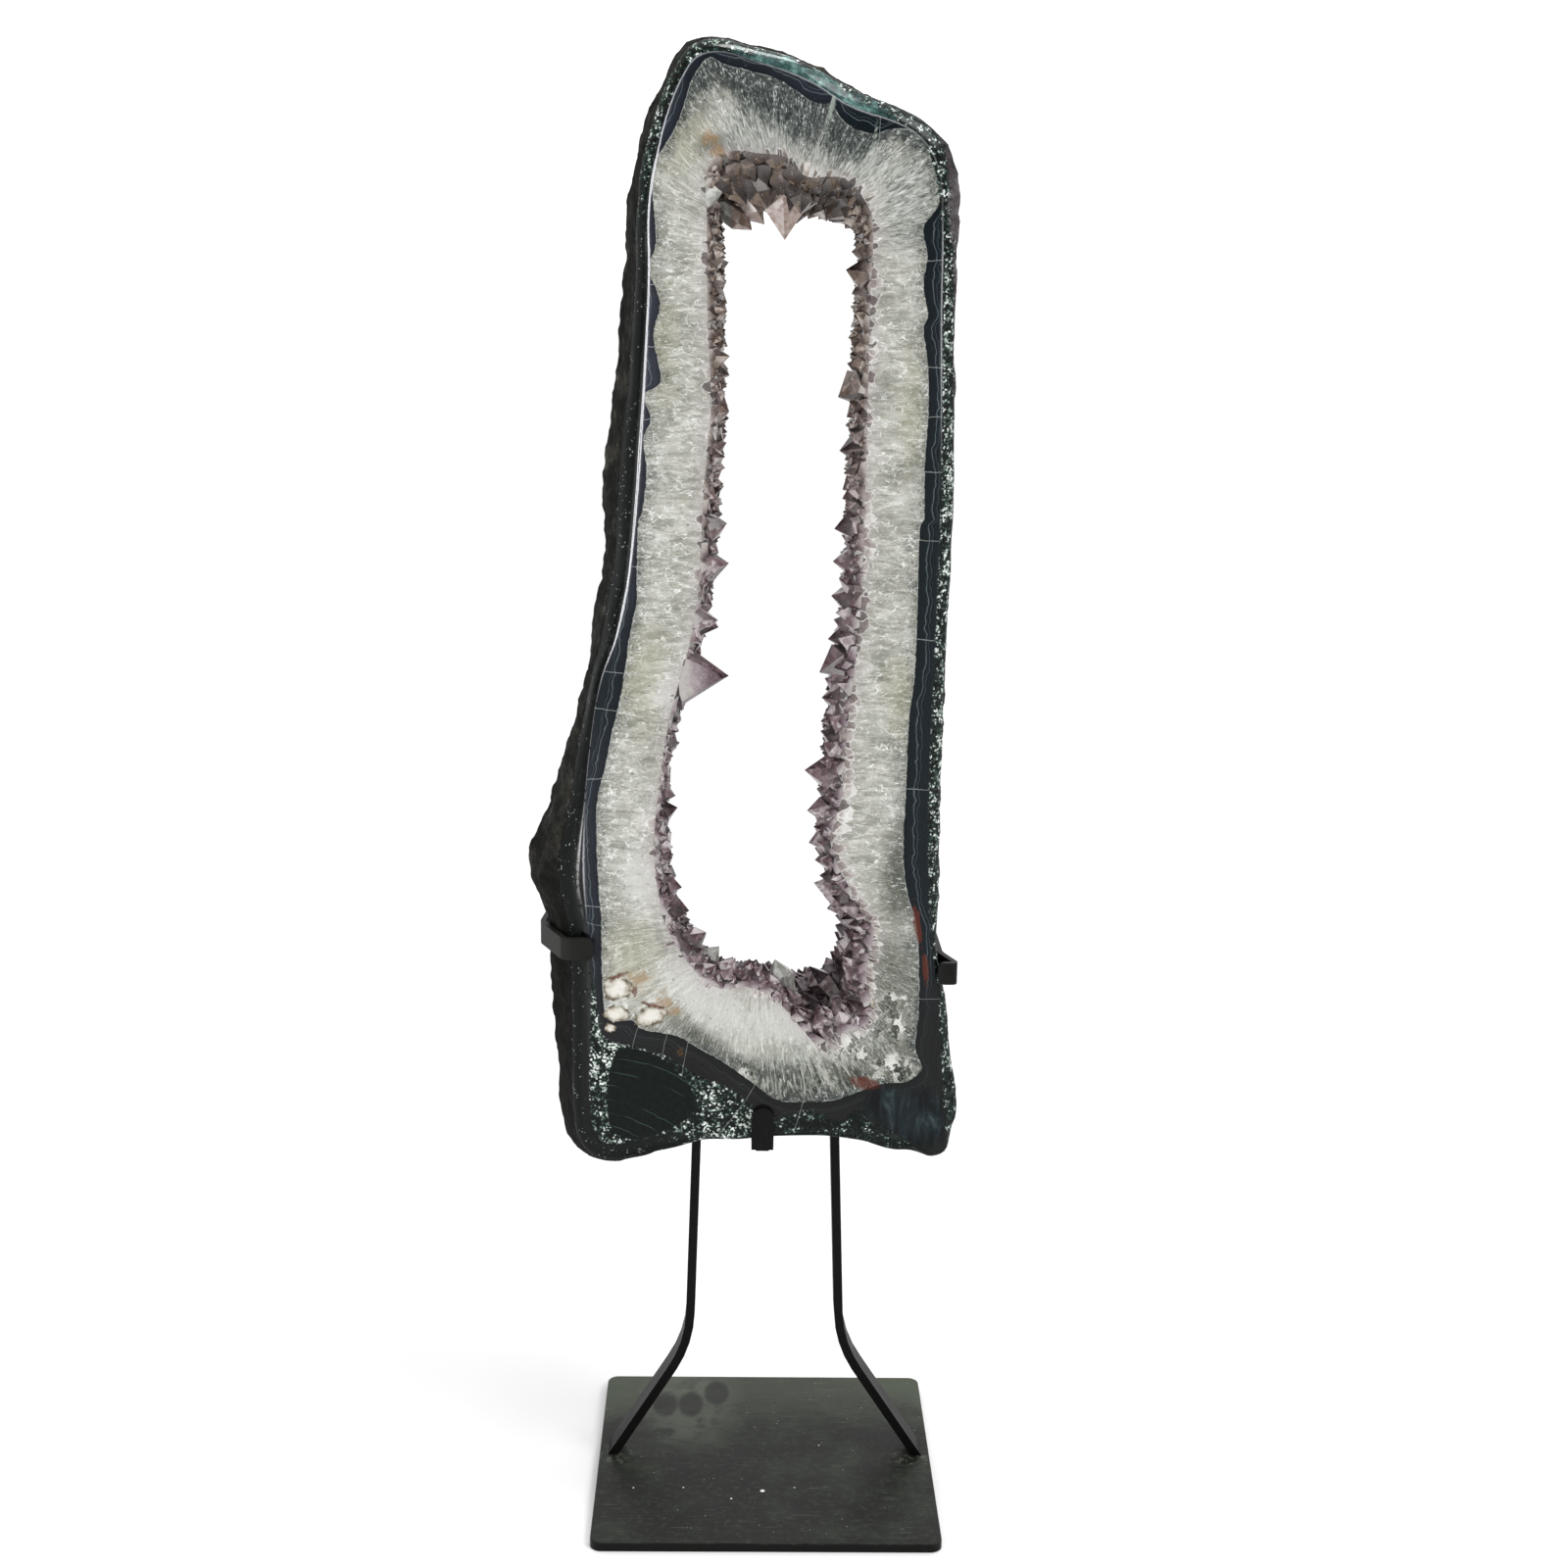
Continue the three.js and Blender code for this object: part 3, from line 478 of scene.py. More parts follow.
# What changes round the ring on the stone: places (x, z, value)
RING_FIELDS = {
    # Width in mm of the crumbly rim
    "granular": [
        (-90, 1450, 1), (0, 1462, -3), (80, 1418, -3), (120, 1400, 3), (140, 1380, 9), (149, 1340, 7),
        (149, 1290, 1), (153, 1068, 0), (151, 900, 0), (150, 760, 2), (157, 650, 5), (167, 570, 4),
        (173, 500, 3), (150, 415, 3), (95, 437, 5), (5, 436, 7), (-60, 430, 10), (-155, 423, 9),
        (-182, 510, 11), (-181, 560, 4), (-184, 610, -3), (-189, 700, -4), (-175, 885, -4), (-137, 1080, -4),
        (-127, 1270, -4), (-120, 1380, -2),
    ],
    # How crumbly the bevel is
    "grit": [
        (-90, 1450, 1), (-76, 1480, 0.9), (-50, 1472, 0.2), (0, 1462, 0), (80, 1418, 0.1), (120, 1400, 0.8),
        (140, 1380, 1), (149, 1290, 0.8), (151, 900, 0.8), (150, 760, 1), (167, 570, 0.6), (150, 415, 0.5),
        (95, 437, 0.6), (5, 436, 0.5), (-60, 430, 0.5), (-155, 423, 0.1), (-182, 510, 0), (-189, 700, 0),
        (-137, 1080, 0), (-127, 1300, 0.2), (-120, 1380, 0.7),
    ],
    # How many pale grains the crumbs have
    "snow": [
        (-90, 1450, 0.04), (80, 1418, 0.03), (140, 1380, 0.04), (149, 1300, 0.07), (151, 900, 0.06),
        (150, 760, 0.05), (173, 500, 0), (95, 437, -0.05), (5, 436, -0.03), (-60, 430, 0.07),
        (-110, 430, 0.02), (-155, 423, 0.05), (-182, 510, 0.1), (-182, 580, 0.08), (-187, 625, 0),
        (-189, 700, -0.08),
    ],
    # Painted white highlight line along the face's edge, and where its coat gives a wet shine
    "painted_arris_highlight_and_shine": [
        (-60, 1480, 0), (-90, 1455, 0.4), (-120, 1380, 1), (-130, 1200, 1), (-150, 960, 1), (-156, 930, 0.9),
        (-163, 898, 0), (-187, 760, 0), (-187, 738, 0.45), (-189, 690, 0.45), (-189, 665, 0), (0, 430, 0),
        (151, 1100, 0), (151, 1200, 0.4), (149, 1300, 0.4), (149, 1340, 0), (100, 1415, 0.3), (20, 1455, 0.3),
    ],
    # Sooty rock above 0, mauve-grey rock below
    "soot": [
        (-90, 1450, 0.3), (0, 1462, 0.2), (110, 1410, -0.3), (152, 1350, -1.2), (153, 1290, -1),
        (153, 900, 0.2), (160, 640, 0.4), (172, 520, 0.6), (95, 437, 0.7), (-155, 423, 0.9), (-182, 520, 1),
        (-186, 640, 0.8), (-215, 720, 0.3), (-190, 800, 0.1), (-150, 1000, 0.1), (-127, 1270, 0),
        (-120, 1380, 0.2),
    ],
    # Teal share of the bevel
    "teal": [
        (-100, 1432, 0.1), (-84, 1462, 0.2), (-60, 1475, 0.9), (-10, 1460, 1), (60, 1426, 1),
        (108, 1410, 0.9), (140, 1380, 0.1), (149, 1240, 0.25), (151, 900, 0.15), (173, 500, 0.12),
        (95, 437, 0.1), (-155, 423, 0), (-182, 520, 0), (-189, 700, 0), (-127, 1270, 0),
    ],
    # Slate share of the agate
    "slate": [
        (-100, 1432, 0.5), (-80, 1462, 0.2), (60, 1426, 0), (149, 1320, 0.1), (153, 1068, 0.05),
        (150, 760, 0.1), (167, 570, 0.1), (95, 437, 0), (-155, 423, 0), (-189, 660, 0.5), (-187, 760, 0.6),
        (-170, 880, 0.1), (-150, 950, 0.35), (-145, 1000, 0.8), (-131, 1180, 1), (-127, 1335, 1),
    ],
    # Width in mm of the smoky band beside the agate
    "smoke_width": [
        (-110, 1380, 0), (-90, 1440, 14), (-60, 1455, 42), (0, 1440, 46), (60, 1400, 30), (110, 1395, 18),
        (135, 1340, 2), (130, 1250, 0), (124, 800, 0), (142, 600, 6), (145, 530, 16), (108, 492, 14),
        (60, 474, 26), (5, 474, 34), (-30, 500, 12), (-80, 530, 4), (-140, 555, 0), (-172, 720, 0),
        (-134, 1000, 0),
    ],
}


def stone_fields(points, columns, distance, past, rough):
    """Number fields that the stone's material reads at each vertex."""
    flat = points[:, [0, 2]]
    crack, crack_past = crack_offset(columns, distance)
    fields = {
        "flow": flow_of(columns, distance),
        "from_hole": distance - hole_reach[columns],
        "from_edge": face_reach[columns] - distance,
        "agate": distance - outline_reach(AGATE_EDGE)[columns],
        "past": past,
        "rough": rough,
        "pocket": polygon_distance(flat, POCKET),
        "crumbs": polygon_distance(flat, CRUMBS),
        "crack": crack,
        "crack_past": crack_past,
    }
    fields |= {name: around(anchors)[columns] for name, anchors in RING_FIELDS.items()}
    fields |= {name: patches(flat, places) for name, places in SPOTS.items()}
    return fields


def stone():
    """One closed mesh round the hole, from the rows of its section."""
    rows = stone_rows()
    count = len(rows)
    points, past, rough = [], [], []
    for row, past_edge, share in rows:
        if share.any():
            relief = np.array([rock_relief(p) for p in row]) * share
            row = row + np.stack([WAYS[:, 0] * relief, 0 * relief, WAYS[:, 1] * relief], 1)
        points.append(row)
        past.append(np.full(COLUMNS, past_edge))
        rough.append(share)
    points = np.concatenate(points)
    columns = np.tile(np.arange(COLUMNS), count)
    distance = ((points[:, [0, 2]] - STARTS[columns]) * WAYS[columns]).sum(1)
    fields = stone_fields(points, columns, distance, np.concatenate(past), np.concatenate(rough))
    faces = []
    for r in range(count):
        here, there = r * COLUMNS, (r + 1) % count * COLUMNS
        for k in range(COLUMNS):
            beside = (k + 1) % COLUMNS
            faces.append((here + k, here + beside, there + beside, there + k))
    return add_mesh("geode_stone", points, faces, fields, smooth=True)


# Crystals that stand out: (x, z) of the tip over the face, its depth, radius and lean along the ring
LARGE_CRYSTALS = [
    (36, 1322, -108, 13, 2), (52, 1320, -84, 13, 2), (14, 1332, -92, 18, 1), (-50, 1334, -84, 17, -1),
    (-20, 1336, -66, 20, 0), (34, 1334, -60, 18, 0), (-34, 1334, -122, 13, 1), (-16, 1330, -126, 13, -1),
    (4, 1328, -124, 14, 1), (20, 1330, -122, 14, 0), (-46, 1342, -128, 11, 0), (-4, 1342, -131, 11, 2),
    (30, 1340, -130, 12, -1), (-26, 1352, -133, 12, 1), (12, 1350, -134, 12, 0), (56, 1276, -124, 19, 2),
    (62, 1257, -130, 11, 0), (64, 1205, -130, 10, 0), (52, 1162, -128, 19, -2), (64, 1146, -128, 10, 0),
    (53, 1113, -122, 17, 0), (58, 1092, -128, 12, 0), (50, 1041, -126, 14, 0), (49, 1010, -120, 13, 1),
    (48, 978, -122, 16, 2), (46, 936, -118, 13, 0), (38, 905, -124, 19, -2), (41, 880, -120, 13, 0),
    (26, 810, -120, 23, 2), (29, 770, -124, 13, 0), (31, 738, -118, 14, 0), (37, 695, -112, 19, 3),
    (50, 672, -100, 14, 0), (-66, 645, -124, 10, 0), (-38, 620, -112, 13, 2), (-24, 620, -104, 12, 0),
    (-10, 609, -92, 13, 1), (34, 612, -84, 14, 0), (58, 620, -84, 15, 1), (-83, 667, -120, 11, 1),
    (-92, 678, -114, 9, 0), (-90, 692, -120, 10, 1), (-99, 704, -112, 9, 1), (-102, 717, -120, 8, 0),
    (-99, 732, -114, 9, 0), (-103, 741, -122, 8, 0), (-95, 771, -112, 10, -1), (-97, 781, -120, 9, 1),
    (-104, 797, -116, 7, 0), (-99, 822, -122, 8, 0), (-93, 834, -114, 8, 0), (-94, 845, -122, 8, 1),
    (-92, 856, -114, 8, 0), (-57, 946, -124, 13, 2), (-50, 1044, -128, 14, -1), (-57, 1092, -126, 12, 1),
    (-49, 1148, -124, 16, 1), (-49, 1198, -128, 12, 0), (-52, 1240, -122, 13, -1), (-57, 1284, -126, 12, 0),
]
# Sharper ones that the face cuts through
SHARP_CRYSTALS = [(-47, 900, -137, 27, 0), (-48, 1006, -130, 19, 0), (-58, 951, -134, 15, 1)]
# Pale see-through ones, told in the same way
CLEAR_CRYSTALS = [
    (-2, 1303, -112, 23, 18), (-30, 1311, -98, 11, 2), (-43, 1320, -96, 10, 1), (-19, 1316, -92, 11, 1),
    (-57, 1343, -137, 15, -5), (62, 1318, -96, 8, 2), (0, 619, -108, 14, -1), (-54, 632, -92, 11, -2),
    (-66, 644, -100, 9, 0),
]
# Broods of smaller crystals: tries, share of the size from and to, crowding, share of the stand from and to
CRYSTAL_BROODS = [
    (3600, 0.85, 1.3, 0.62, 0.8, 1.06),
    (5200, 0.4, 0.75, 0.5, 0.62, 0.95),
]
# How far the smaller ones stand off at a sawn face, as a share of their stand deeper in the hole
FRONT_STAND = 0.45
# Depths between which they grow, and how far their tips stray in columns and in depth
BROOD_DEPTHS = (FACE_Y - 2, BACK_Y - 10)
SWAY_COLUMNS = 2
SWAY_DEPTH = 6
# Share of a chosen crystal's radius that they keep clear of
CHOSEN_GIRTH = 0.45
# How far a root lies under the ground, and how much deeper in the stone than its tip, in radii
ROOT_DEPTH = 4
ROOT_TILT = 0.3
# Length of a crystal's point in radii, and the least share of its length that lies below the point
POINT_STEEPNESS = 1.15
SHARP_STEEPNESS = 1.75
CLEAR_STEEPNESS = 1.3
LEAST_SHOULDER = 0.1
# How uneven the corners are, in radii, and how uneven the cut faces, in mm
CORNER_SPREAD = 0.14
CUT_STAGGER = 0.3
# Corners 0 to 5 of a crystal are at its root, 6 to 11 at its shoulder and 12 at its tip
SIDES = 6
CRYSTAL_FACES = [tuple(range(SIDES - 1, -1, -1))]
CRYSTAL_FACES += [(k, (k + 1) % SIDES, SIDES + (k + 1) % SIDES, SIDES + k) for k in range(SIDES)]
CRYSTAL_FACES += [(SIDES + k, SIDES + (k + 1) % SIDES, 2 * SIDES) for k in range(SIDES)]


def crystal_points(root, tip, radius, shoulder, draw):
    """Corners of a six-sided crystal: its root, its shoulder and its point."""
    axis = (tip - root).normalized()
    side = axis.orthogonal().normalized()
    side.rotate(Matrix.Rotation(draw.uniform(0, 1), 3, axis))
    up = axis.cross(side)
    length = (tip - root).length
    corners = []
    for height, share in ((0.0, 0.75), (shoulder, 1.0)):
        for k in range(SIDES):
            turn = k * 2 * math.pi / SIDES
            wide = radius * share * draw.uniform(1 - CORNER_SPREAD, 1 + CORNER_SPREAD)
            slant = (-1) ** k * CORNER_SPREAD + draw.uniform(-CORNER_SPREAD, CORNER_SPREAD)
            step = height * length + slant * radius * (height > 0)
            corners.append(root + axis * step + (side * math.cos(turn) + up * math.sin(turn)) * wide)
    corners.append(tip + side * draw.uniform(-CORNER_SPREAD, CORNER_SPREAD) * radius)
    return corners


def on_ring(column, distance, y):
    c = int(column) % COLUMNS
    flat = STARTS[c] + WAYS[c] * distance
    return Vector((flat[0], y, flat[1]))


def root_at(column, y):
    """A place a little under the ground that the crystals grow from."""
    return on_ring(column, ground_at(y)[int(column) % COLUMNS] + ROOT_DEPTH, y)


def behind_face(x, z, y):
    """The point at a depth that the camera sees over (x, z) of the face."""
    share = (y - EYE.y) / (FACE_Y - EYE.y)
    return Vector((EYE.x + (x - EYE.x) * share, y, EYE.z + (z - EYE.z) * share))


def chosen_crystals(told, steepness=POINT_STEEPNESS):
    """Crystals (root, tip, radius, length of the point) from a list that gives their tips."""
    made = []
    for x, z, y, radius, lean in told:
        tip = behind_face(x, z, y)
        column = ring_place([(tip.x, tip.z)])[0][0] + lean
        made.append((root_at(column, y + radius * ROOT_TILT), tip, radius, radius * steepness))
    return made


def crystal_brood(made, draw):
    """Smaller crystals in the gaps that the made ones leave, first the main ones and then the smallest."""
    size_at = around(CRUST_SIZE)
    most = len(made) + sum(brood[0] for brood in CRYSTAL_BROODS)
    roots = np.zeros((most, 3))
    girths = np.zeros(most)
    for k, (root, _, radius, _) in enumerate(made):
        roots[k] = root
        girths[k] = radius * CHOSEN_GIRTH
    brood_made = []
    count = len(made)
    for tries, low, high, crowding, stand_low, stand_high in CRYSTAL_BROODS:
        for _ in range(tries):
            column = draw.uniform(0, COLUMNS)
            y = draw.uniform(*BROOD_DEPTHS)
            radius = size_at[int(column)] * draw.uniform(low, high)
            root = root_at(column, y)
            apart = np.linalg.norm(roots[:count] - np.array(root), axis=1)
            if (apart < crowding * (radius + girths[:count])).any():
                continue
            stand = crust_stand[int(column)] * draw.uniform(stand_low, stand_high)
            stand *= FRONT_STAND + (1 - FRONT_STAND) * inward_share(y)
            tip_column = column + draw.uniform(-SWAY_COLUMNS, SWAY_COLUMNS)
            tip_y = y + draw.uniform(-SWAY_DEPTH, SWAY_DEPTH)
            tip = on_ring(tip_column, wall_at(y)[int(column)] - stand, tip_y)
            brood_made.append((root, tip, radius, radius * POINT_STEEPNESS))
            roots[count] = root
            girths[count] = radius
            count += 1
    return brood_made


def crystal_piece(name, made, draw):
    """One mesh of crystals, cut flat where the face and the sawn back pass through them."""
    points, faces, tint, along = [], [], [], []
    for root, tip, radius, point in made:
        shoulder = max(1 - point / (tip - root).length, LEAST_SHOULDER)
        first = len(points)
        points += crystal_points(root, tip, radius, shoulder, draw)
        faces += [tuple(first + k for k in face) for face in CRYSTAL_FACES]
        tint += [draw.uniform(0, 1)] * (2 * SIDES + 1)
        along += [0] * SIDES + [shoulder] * SIDES + [1]
    piece = add_mesh(name, [tuple(p) for p in points], faces, {"tint": tint, "along": along}, smooth=False)
    cut_flat(piece, FACE_Y + 0.5 * SKIN, -1)
    cut_flat(piece, BACK_Y - 0.5 * SKIN, 1)
    add_crystal_fields(piece, draw)
    return piece


def cut_flat(piece, y, side):
    """Cuts the crystals at a depth and closes each cut, each a hair off its neighbours' depth."""
    work = bmesh.new()
    work.from_mesh(piece.data)
    everything = work.verts[:] + work.edges[:] + work.faces[:]
    bmesh.ops.bisect_plane(
        work, geom=everything, plane_co=(0, y * MM, 0), plane_no=(0, side, 0), clear_outer=True)
    bmesh.ops.holes_fill(work, edges=[e for e in work.edges if e.is_boundary], sides=0)
    bmesh.ops.recalc_face_normals(work, faces=work.faces[:])
    own = work.verts.layers.float["tint"]
    for corner in work.verts:
        if abs(corner.co.y - y * MM) < 1e-6:
            corner.co.y -= side * corner[own] * CUT_STAGGER * MM
    work.to_mesh(piece.data)
    work.free()


def add_crystal_fields(piece, draw):
    """For each flat face, a random tone that paints its facet lit or shaded, and whether the polishing cut
    it.
    """
    mesh = piece.data
    front = (FACE_Y + SKIN + CUT_STAGGER) * MM
    cut = [float(all(mesh.vertices[v].co.y < front for v in face.vertices)) for face in mesh.polygons]
    mesh.attributes.new("cut", "FLOAT", "FACE").data.foreach_set("value", cut)
    mesh.attributes.new("tone", "FLOAT", "FACE").data.foreach_set("value", draw.uniform(0, 1, len(cut)))
    mesh.polygons.foreach_set("use_smooth", [False] * len(cut))


# Material building

def colour(code):
    """A linear colour with alpha from a screen colour such as 'a0b0c0'."""
    parts = [int(code[k:k + 2], 16) / 255 for k in (0, 2, 4)]
    return tuple(p / 12.92 if p <= 0.04045 else ((p + 0.055) / 1.055) ** 2.4 for p in parts) + (1.0,)


class Nodes:
    """Short calls that add and link a material's nodes."""

    def __init__(self, name):
        self.material = bpy.data.materials.new(name)
        self.material.use_nodes = True
        self.tree = self.material.node_tree
        self.shader = self.tree.nodes["Principled BSDF"]

    def put(self, socket, value):
        if isinstance(value, bpy.types.NodeSocket):
            self.tree.links.new(value, socket)
        else:
            socket.default_value = value

    def add(self, kind, inputs=(), **settings):
        node = self.tree.nodes.new("ShaderNode" + kind)
        for key, value in settings.items():
            setattr(node, key, value)
        for key, value in dict(inputs).items():
            self.put(node.inputs[key], value)
        return node

    def surface(self, **inputs):
        for key, value in inputs.items():
            self.put(self.shader.inputs[key.replace("_", " ")], value)

    def field(self, name, output="Fac"):
        return self.add("Attribute", attribute_name=name).outputs[output]

    def place(self, scale=(1, 1, 1), vector=None):
        """Object coordinates in mm, or another vector, times a scale."""
        source = vector or self.add("TexCoord").outputs["Object"]
        unit = 1 if vector else 1 / MM
        inputs = {0: source, 1: tuple(s * unit for s in scale)}
        return self.add("VectorMath", inputs, operation="MULTIPLY").outputs[0]

    def grain(self, size):
        """Coordinates for a pattern of a size in mm, the same in all directions."""
        return self.place((1 / size,) * 3)

    def along_flow(self, width, length):
        """Coordinates for a pattern drawn out from the hole towards the edge, its width and length in mm."""
        return self.place((1 / width, 1 / width, 1 / length), self.field("flow", "Vector"))

    def xyz(self, vector=None):
        """x, y and z of a vector, or of the place in mm."""
        return self.add("SeparateXYZ", {0: vector or self.place()}).outputs

    def noise(self, vector, detail=3, rough=0.55, distort=0.0):
        inputs = {"Vector": vector, "Scale": 1, "Detail": detail, "Roughness": rough, "Distortion": distort}
        return self.add("TexNoise", inputs).outputs["Fac"]

    def cloud(self, size, detail=3, rough=0.55):
        return self.noise(self.grain(size), detail, rough)

    def streaks(self, width, length, detail=4, rough=0.55, distort=0.5):
        return self.noise(self.along_flow(width, length), detail, rough, distort)

    def bent(self, vector, size, swing):
        """A vector pushed about by noise with lumps of a size in mm, so that straight patterns wander."""
        push = self.add("TexNoise", {"Vector": self.grain(size), "Scale": 1, "Detail": 3}).outputs["Color"]
        inputs = {0: push, 1: (swing,) * 3, 2: vector}
        return self.add("VectorMath", inputs, operation="MULTIPLY_ADD").outputs[0]

    def shaken(self, value, ripple, swing):
        """A value with noise of a given swing added round it."""
        return self.math("ADD", value, self.scaled(ripple, swing, -swing / 2))

    def spot(self, name, ripple, swing, low, high, share):
        """How much a named soft spot covers, with an edge that the noise breaks up."""
        return self.times(self.step(self.shaken(self.field(name), ripple, swing), low, high), share)

    def cells(self, vector, output="Distance", feature="F1"):
        return self.add("TexVoronoi", {"Vector": vector, "Scale": 1}, feature=feature).outputs[output]

    def cell_value(self, vector):
        """A random number from 0 to 1 for each cell."""
        return self.add("SeparateColor", {0: self.cells(vector, "Color")}).outputs[0]

    def borders(self, vector, width):
        """1 where two cells meet, falling to 0 over a width."""
        return self.step(self.cells(vector, feature="DISTANCE_TO_EDGE"), width, 0.0)

    def distance(self, vector, centre):
        return self.add("VectorMath", {0: vector, 1: centre}, operation="DISTANCE").outputs["Value"]

    def math(self, operation, *values):
        return self.add("Math", dict(enumerate(values)), operation=operation).outputs[0]

    def times(self, value, factor):
        return self.math("MULTIPLY", value, factor)

    def scaled(self, value, factor, start):
        """A value times a factor, plus a start."""
        return self.math("MULTIPLY_ADD", value, factor, start)

    def step(self, value, low, high):
        """0 at low, 1 at high and a smooth rise between."""
        inputs = {"Value": value, "From Min": low, "From Max": high}
        return self.add("MapRange", inputs, interpolation_type="SMOOTHSTEP").outputs["Result"]

    def peak(self, value, middle, width):
        """1 where a value is at the middle, falling to 0 over the width on both sides."""
        return self.step(self.math("ABSOLUTE", self.math("SUBTRACT", value, middle)), width, 0.0)

    def ramp(self, value, stops):
        node = self.add("ValToRGB", {"Fac": value})
        elements = node.color_ramp.elements
        while len(elements) < len(stops):
            elements.new(1.0)
        for element, (at, code) in zip(elements, stops):
            element.position = at
            element.color = colour(code)
        return node.outputs["Color"]

    def mix(self, share, first, second, blend="MIX"):
        node = self.add("Mix", {0: share}, data_type="RGBA", blend_type=blend)
        for socket, value in ((node.inputs[6], first), (node.inputs[7], second)):
            self.put(socket, colour(value) if isinstance(value, str) else value)
        return node.outputs[2]

    def paint(self, base, shade, value, low, high, share=None):
        """Mixes a shade over a base as a value goes from low to high, at most up to a share."""
        cover = self.step(value, low, high)
        return self.mix(cover if share is None else self.times(cover, share), base, shade)

    def bump(self, height, strength, distance):
        return self.add("Bump", {"Height": height, "Strength": strength, "Distance": distance}).outputs[0]


# Stone's material

def quartz_colour(n, fibre, sugar):
    """Cloudy white to grey-green quartz, drawn out from the hole and sugary against the agate."""
    wisps = n.streaks(7, 30, detail=5, rough=0.6, distort=1.2)
    tone = n.scaled(n.cloud(30, detail=4), 0.3, n.times(wisps, 0.5))
    tone = n.scaled(fibre, 0.2, tone)
    base = n.ramp(tone, [(0.38, "7a7b72"), (0.46, "99998f"), (0.52, "adada4"), (0.61, "cbcbc6")])
    grain = n.scaled(n.step(n.field("agate"), -20, -2), 0.6, 0.05)
    base = n.paint(base, "5c5f58", sugar, 0.47, 0.36, grain)
    base = n.paint(base, "e4e5e2", sugar, 0.56, 0.68, grain)
    base = vein_colour(n, base)
    base = n.mix(n.spot("olive", fibre, 1.0, 0.0, 0.9, 0.5), base, "96947c")
    base = smoky_colour(n, base, fibre)
    base = n.mix(n.spot("milk", fibre, 1.3, 0.0, 0.7, 0.7), base, "c6c6c2")
    base = n.mix(n.spot("shards", n.cloud(9), 1.2, 0.1, 0.5, 0.8), base, shard_colour(n, sugar))
    blades = n.ramp(n.streaks(7, 34, detail=4, distort=1.6), [
        (0.4, "1a1d18"), (0.47, "3b3f37"), (0.54, "6a6d62"), (0.62, "b4b6ac")])
    base = n.mix(n.spot("blades", fibre, 1.4, 0.0, 0.6, 0.65), base, blades)
    flakes = n.streaks(2.8, 14, detail=4, rough=0.6, distort=2.4)
    base = n.paint(base, "ecede9", flakes, 0.57, 0.67, 0.6)
    base = n.paint(base, "4c4f48", flakes, 0.38, 0.28, 0.25)
    return near_hole_colour(n, base, fibre)


def smoky_colour(n, base, fibre):
    """Adds the quartz's darker parts: mossy patches, combs of crystals and the smoky band along the agate."""
    moss = n.ramp(fibre, [(0.34, "24271f"), (0.46, "4c4e46"), (0.58, "77796d"), (0.7, "bcbdb4")])
    base = n.mix(n.spot("moss", fibre, 1.4, 0.0, 0.7, 0.85), base, moss)
    comb = n.streaks(3.4, 17, detail=5, rough=0.62, distort=1.7)
    comb_shade = n.ramp(comb, [(0.36, "4b5350"), (0.46, "838780"), (0.55, "a9aba5"), (0.66, "d3d5d1")])
    base = n.mix(n.spot("comb", fibre, 1.4, 0.0, 0.6, 0.9), base, comb_shade)
    into_band = n.math("ADD", n.field("agate"), n.field("smoke_width"))
    smoke = n.shaken(n.shaken(into_band, fibre, 60), n.cloud(14), 40)
    crumbly = n.scaled(n.cloud(3.4, detail=4, rough=0.7), 0.6, n.times(comb, 0.4))
    smoke_shade = n.ramp(crumbly, [(0.4, "0b1215"), (0.5, "20292c"), (0.57, "49534f"), (0.65, "c6cbc8")])
    return n.paint(base, smoke_shade, smoke, -16, 18, 0.9)


def vein_colour(n, base):
    """Adds the outlines of the crystals that make up the quartz: white veins and a few greyer grains."""
    grown = n.bent(n.along_flow(6, 20), 7, 1.2)
    base = n.paint(base, "83857b", n.cell_value(grown), 0.5, 1.0, 0.4)
    vein = n.borders(grown, 0.07)
    return n.mix(n.times(vein, n.step(n.cloud(8), 0.4, 0.7)), base, "ecede9")


def shard_colour(n, sugar):
    """Broken quartz low down at the right: angular pieces from glassy grey-green to white."""
    spot = n.bent(n.place((1 / 7, 1 / 7, 1 / 10)), 6, 2.4)
    tone = n.shaken(n.cell_value(spot), sugar, 0.9)
    piece = n.ramp(tone, [(0.05, "23271f"), (0.35, "5b5e54"), (0.6, "8b8d83"), (0.95, "e4e4df")])
    return n.mix(n.times(n.borders(spot, 0.05), 0.4), piece, "c9cac4")


def near_hole_colour(n, base, fibre):
    """Adds a lilac tinge towards the hole, and facets of crystals round it, brown in the upper end."""
    from_hole = n.field("from_hole")
    ragged = n.shaken(n.shaken(from_hole, fibre, 30), n.cloud(9), 14)
    base = n.paint(base, "a79d9f", ragged, 18, -6, 0.45)
    x, _, z = n.xyz()
    facets = n.bent(n.along_flow(8, 12), 7, 0.6)
    middle = n.xyz(n.cells(facets, "Position"))[2]
    share = n.cell_value(facets)
    reach = n.times(n.scaled(share, 0.9, 0.2), n.scaled(n.step(x, -60, 40), 0.8, 0.3))
    inside = n.step(n.math("SUBTRACT", reach, middle), 0, 0.05)
    tone = n.scaled(n.step(from_hole, 14, 0), -0.4, n.shaken(share, n.cloud(4), 0.8))
    mauve = n.ramp(tone, [(0.0, "453739"), (0.3, "796a69"), (0.55, "a8a09c"), (0.8, "dad8d4")])
    brown = n.ramp(tone, [(0.0, "281e18"), (0.3, "55473c"), (0.55, "897d70"), (0.8, "cdc7bf")])
    section = n.paint(mauve, brown, z, 1325, 1345)
    section = n.mix(n.times(n.borders(facets, 0.09), 0.8), section, "ecebe9")
    return n.mix(n.times(inside, 0.75), base, section)


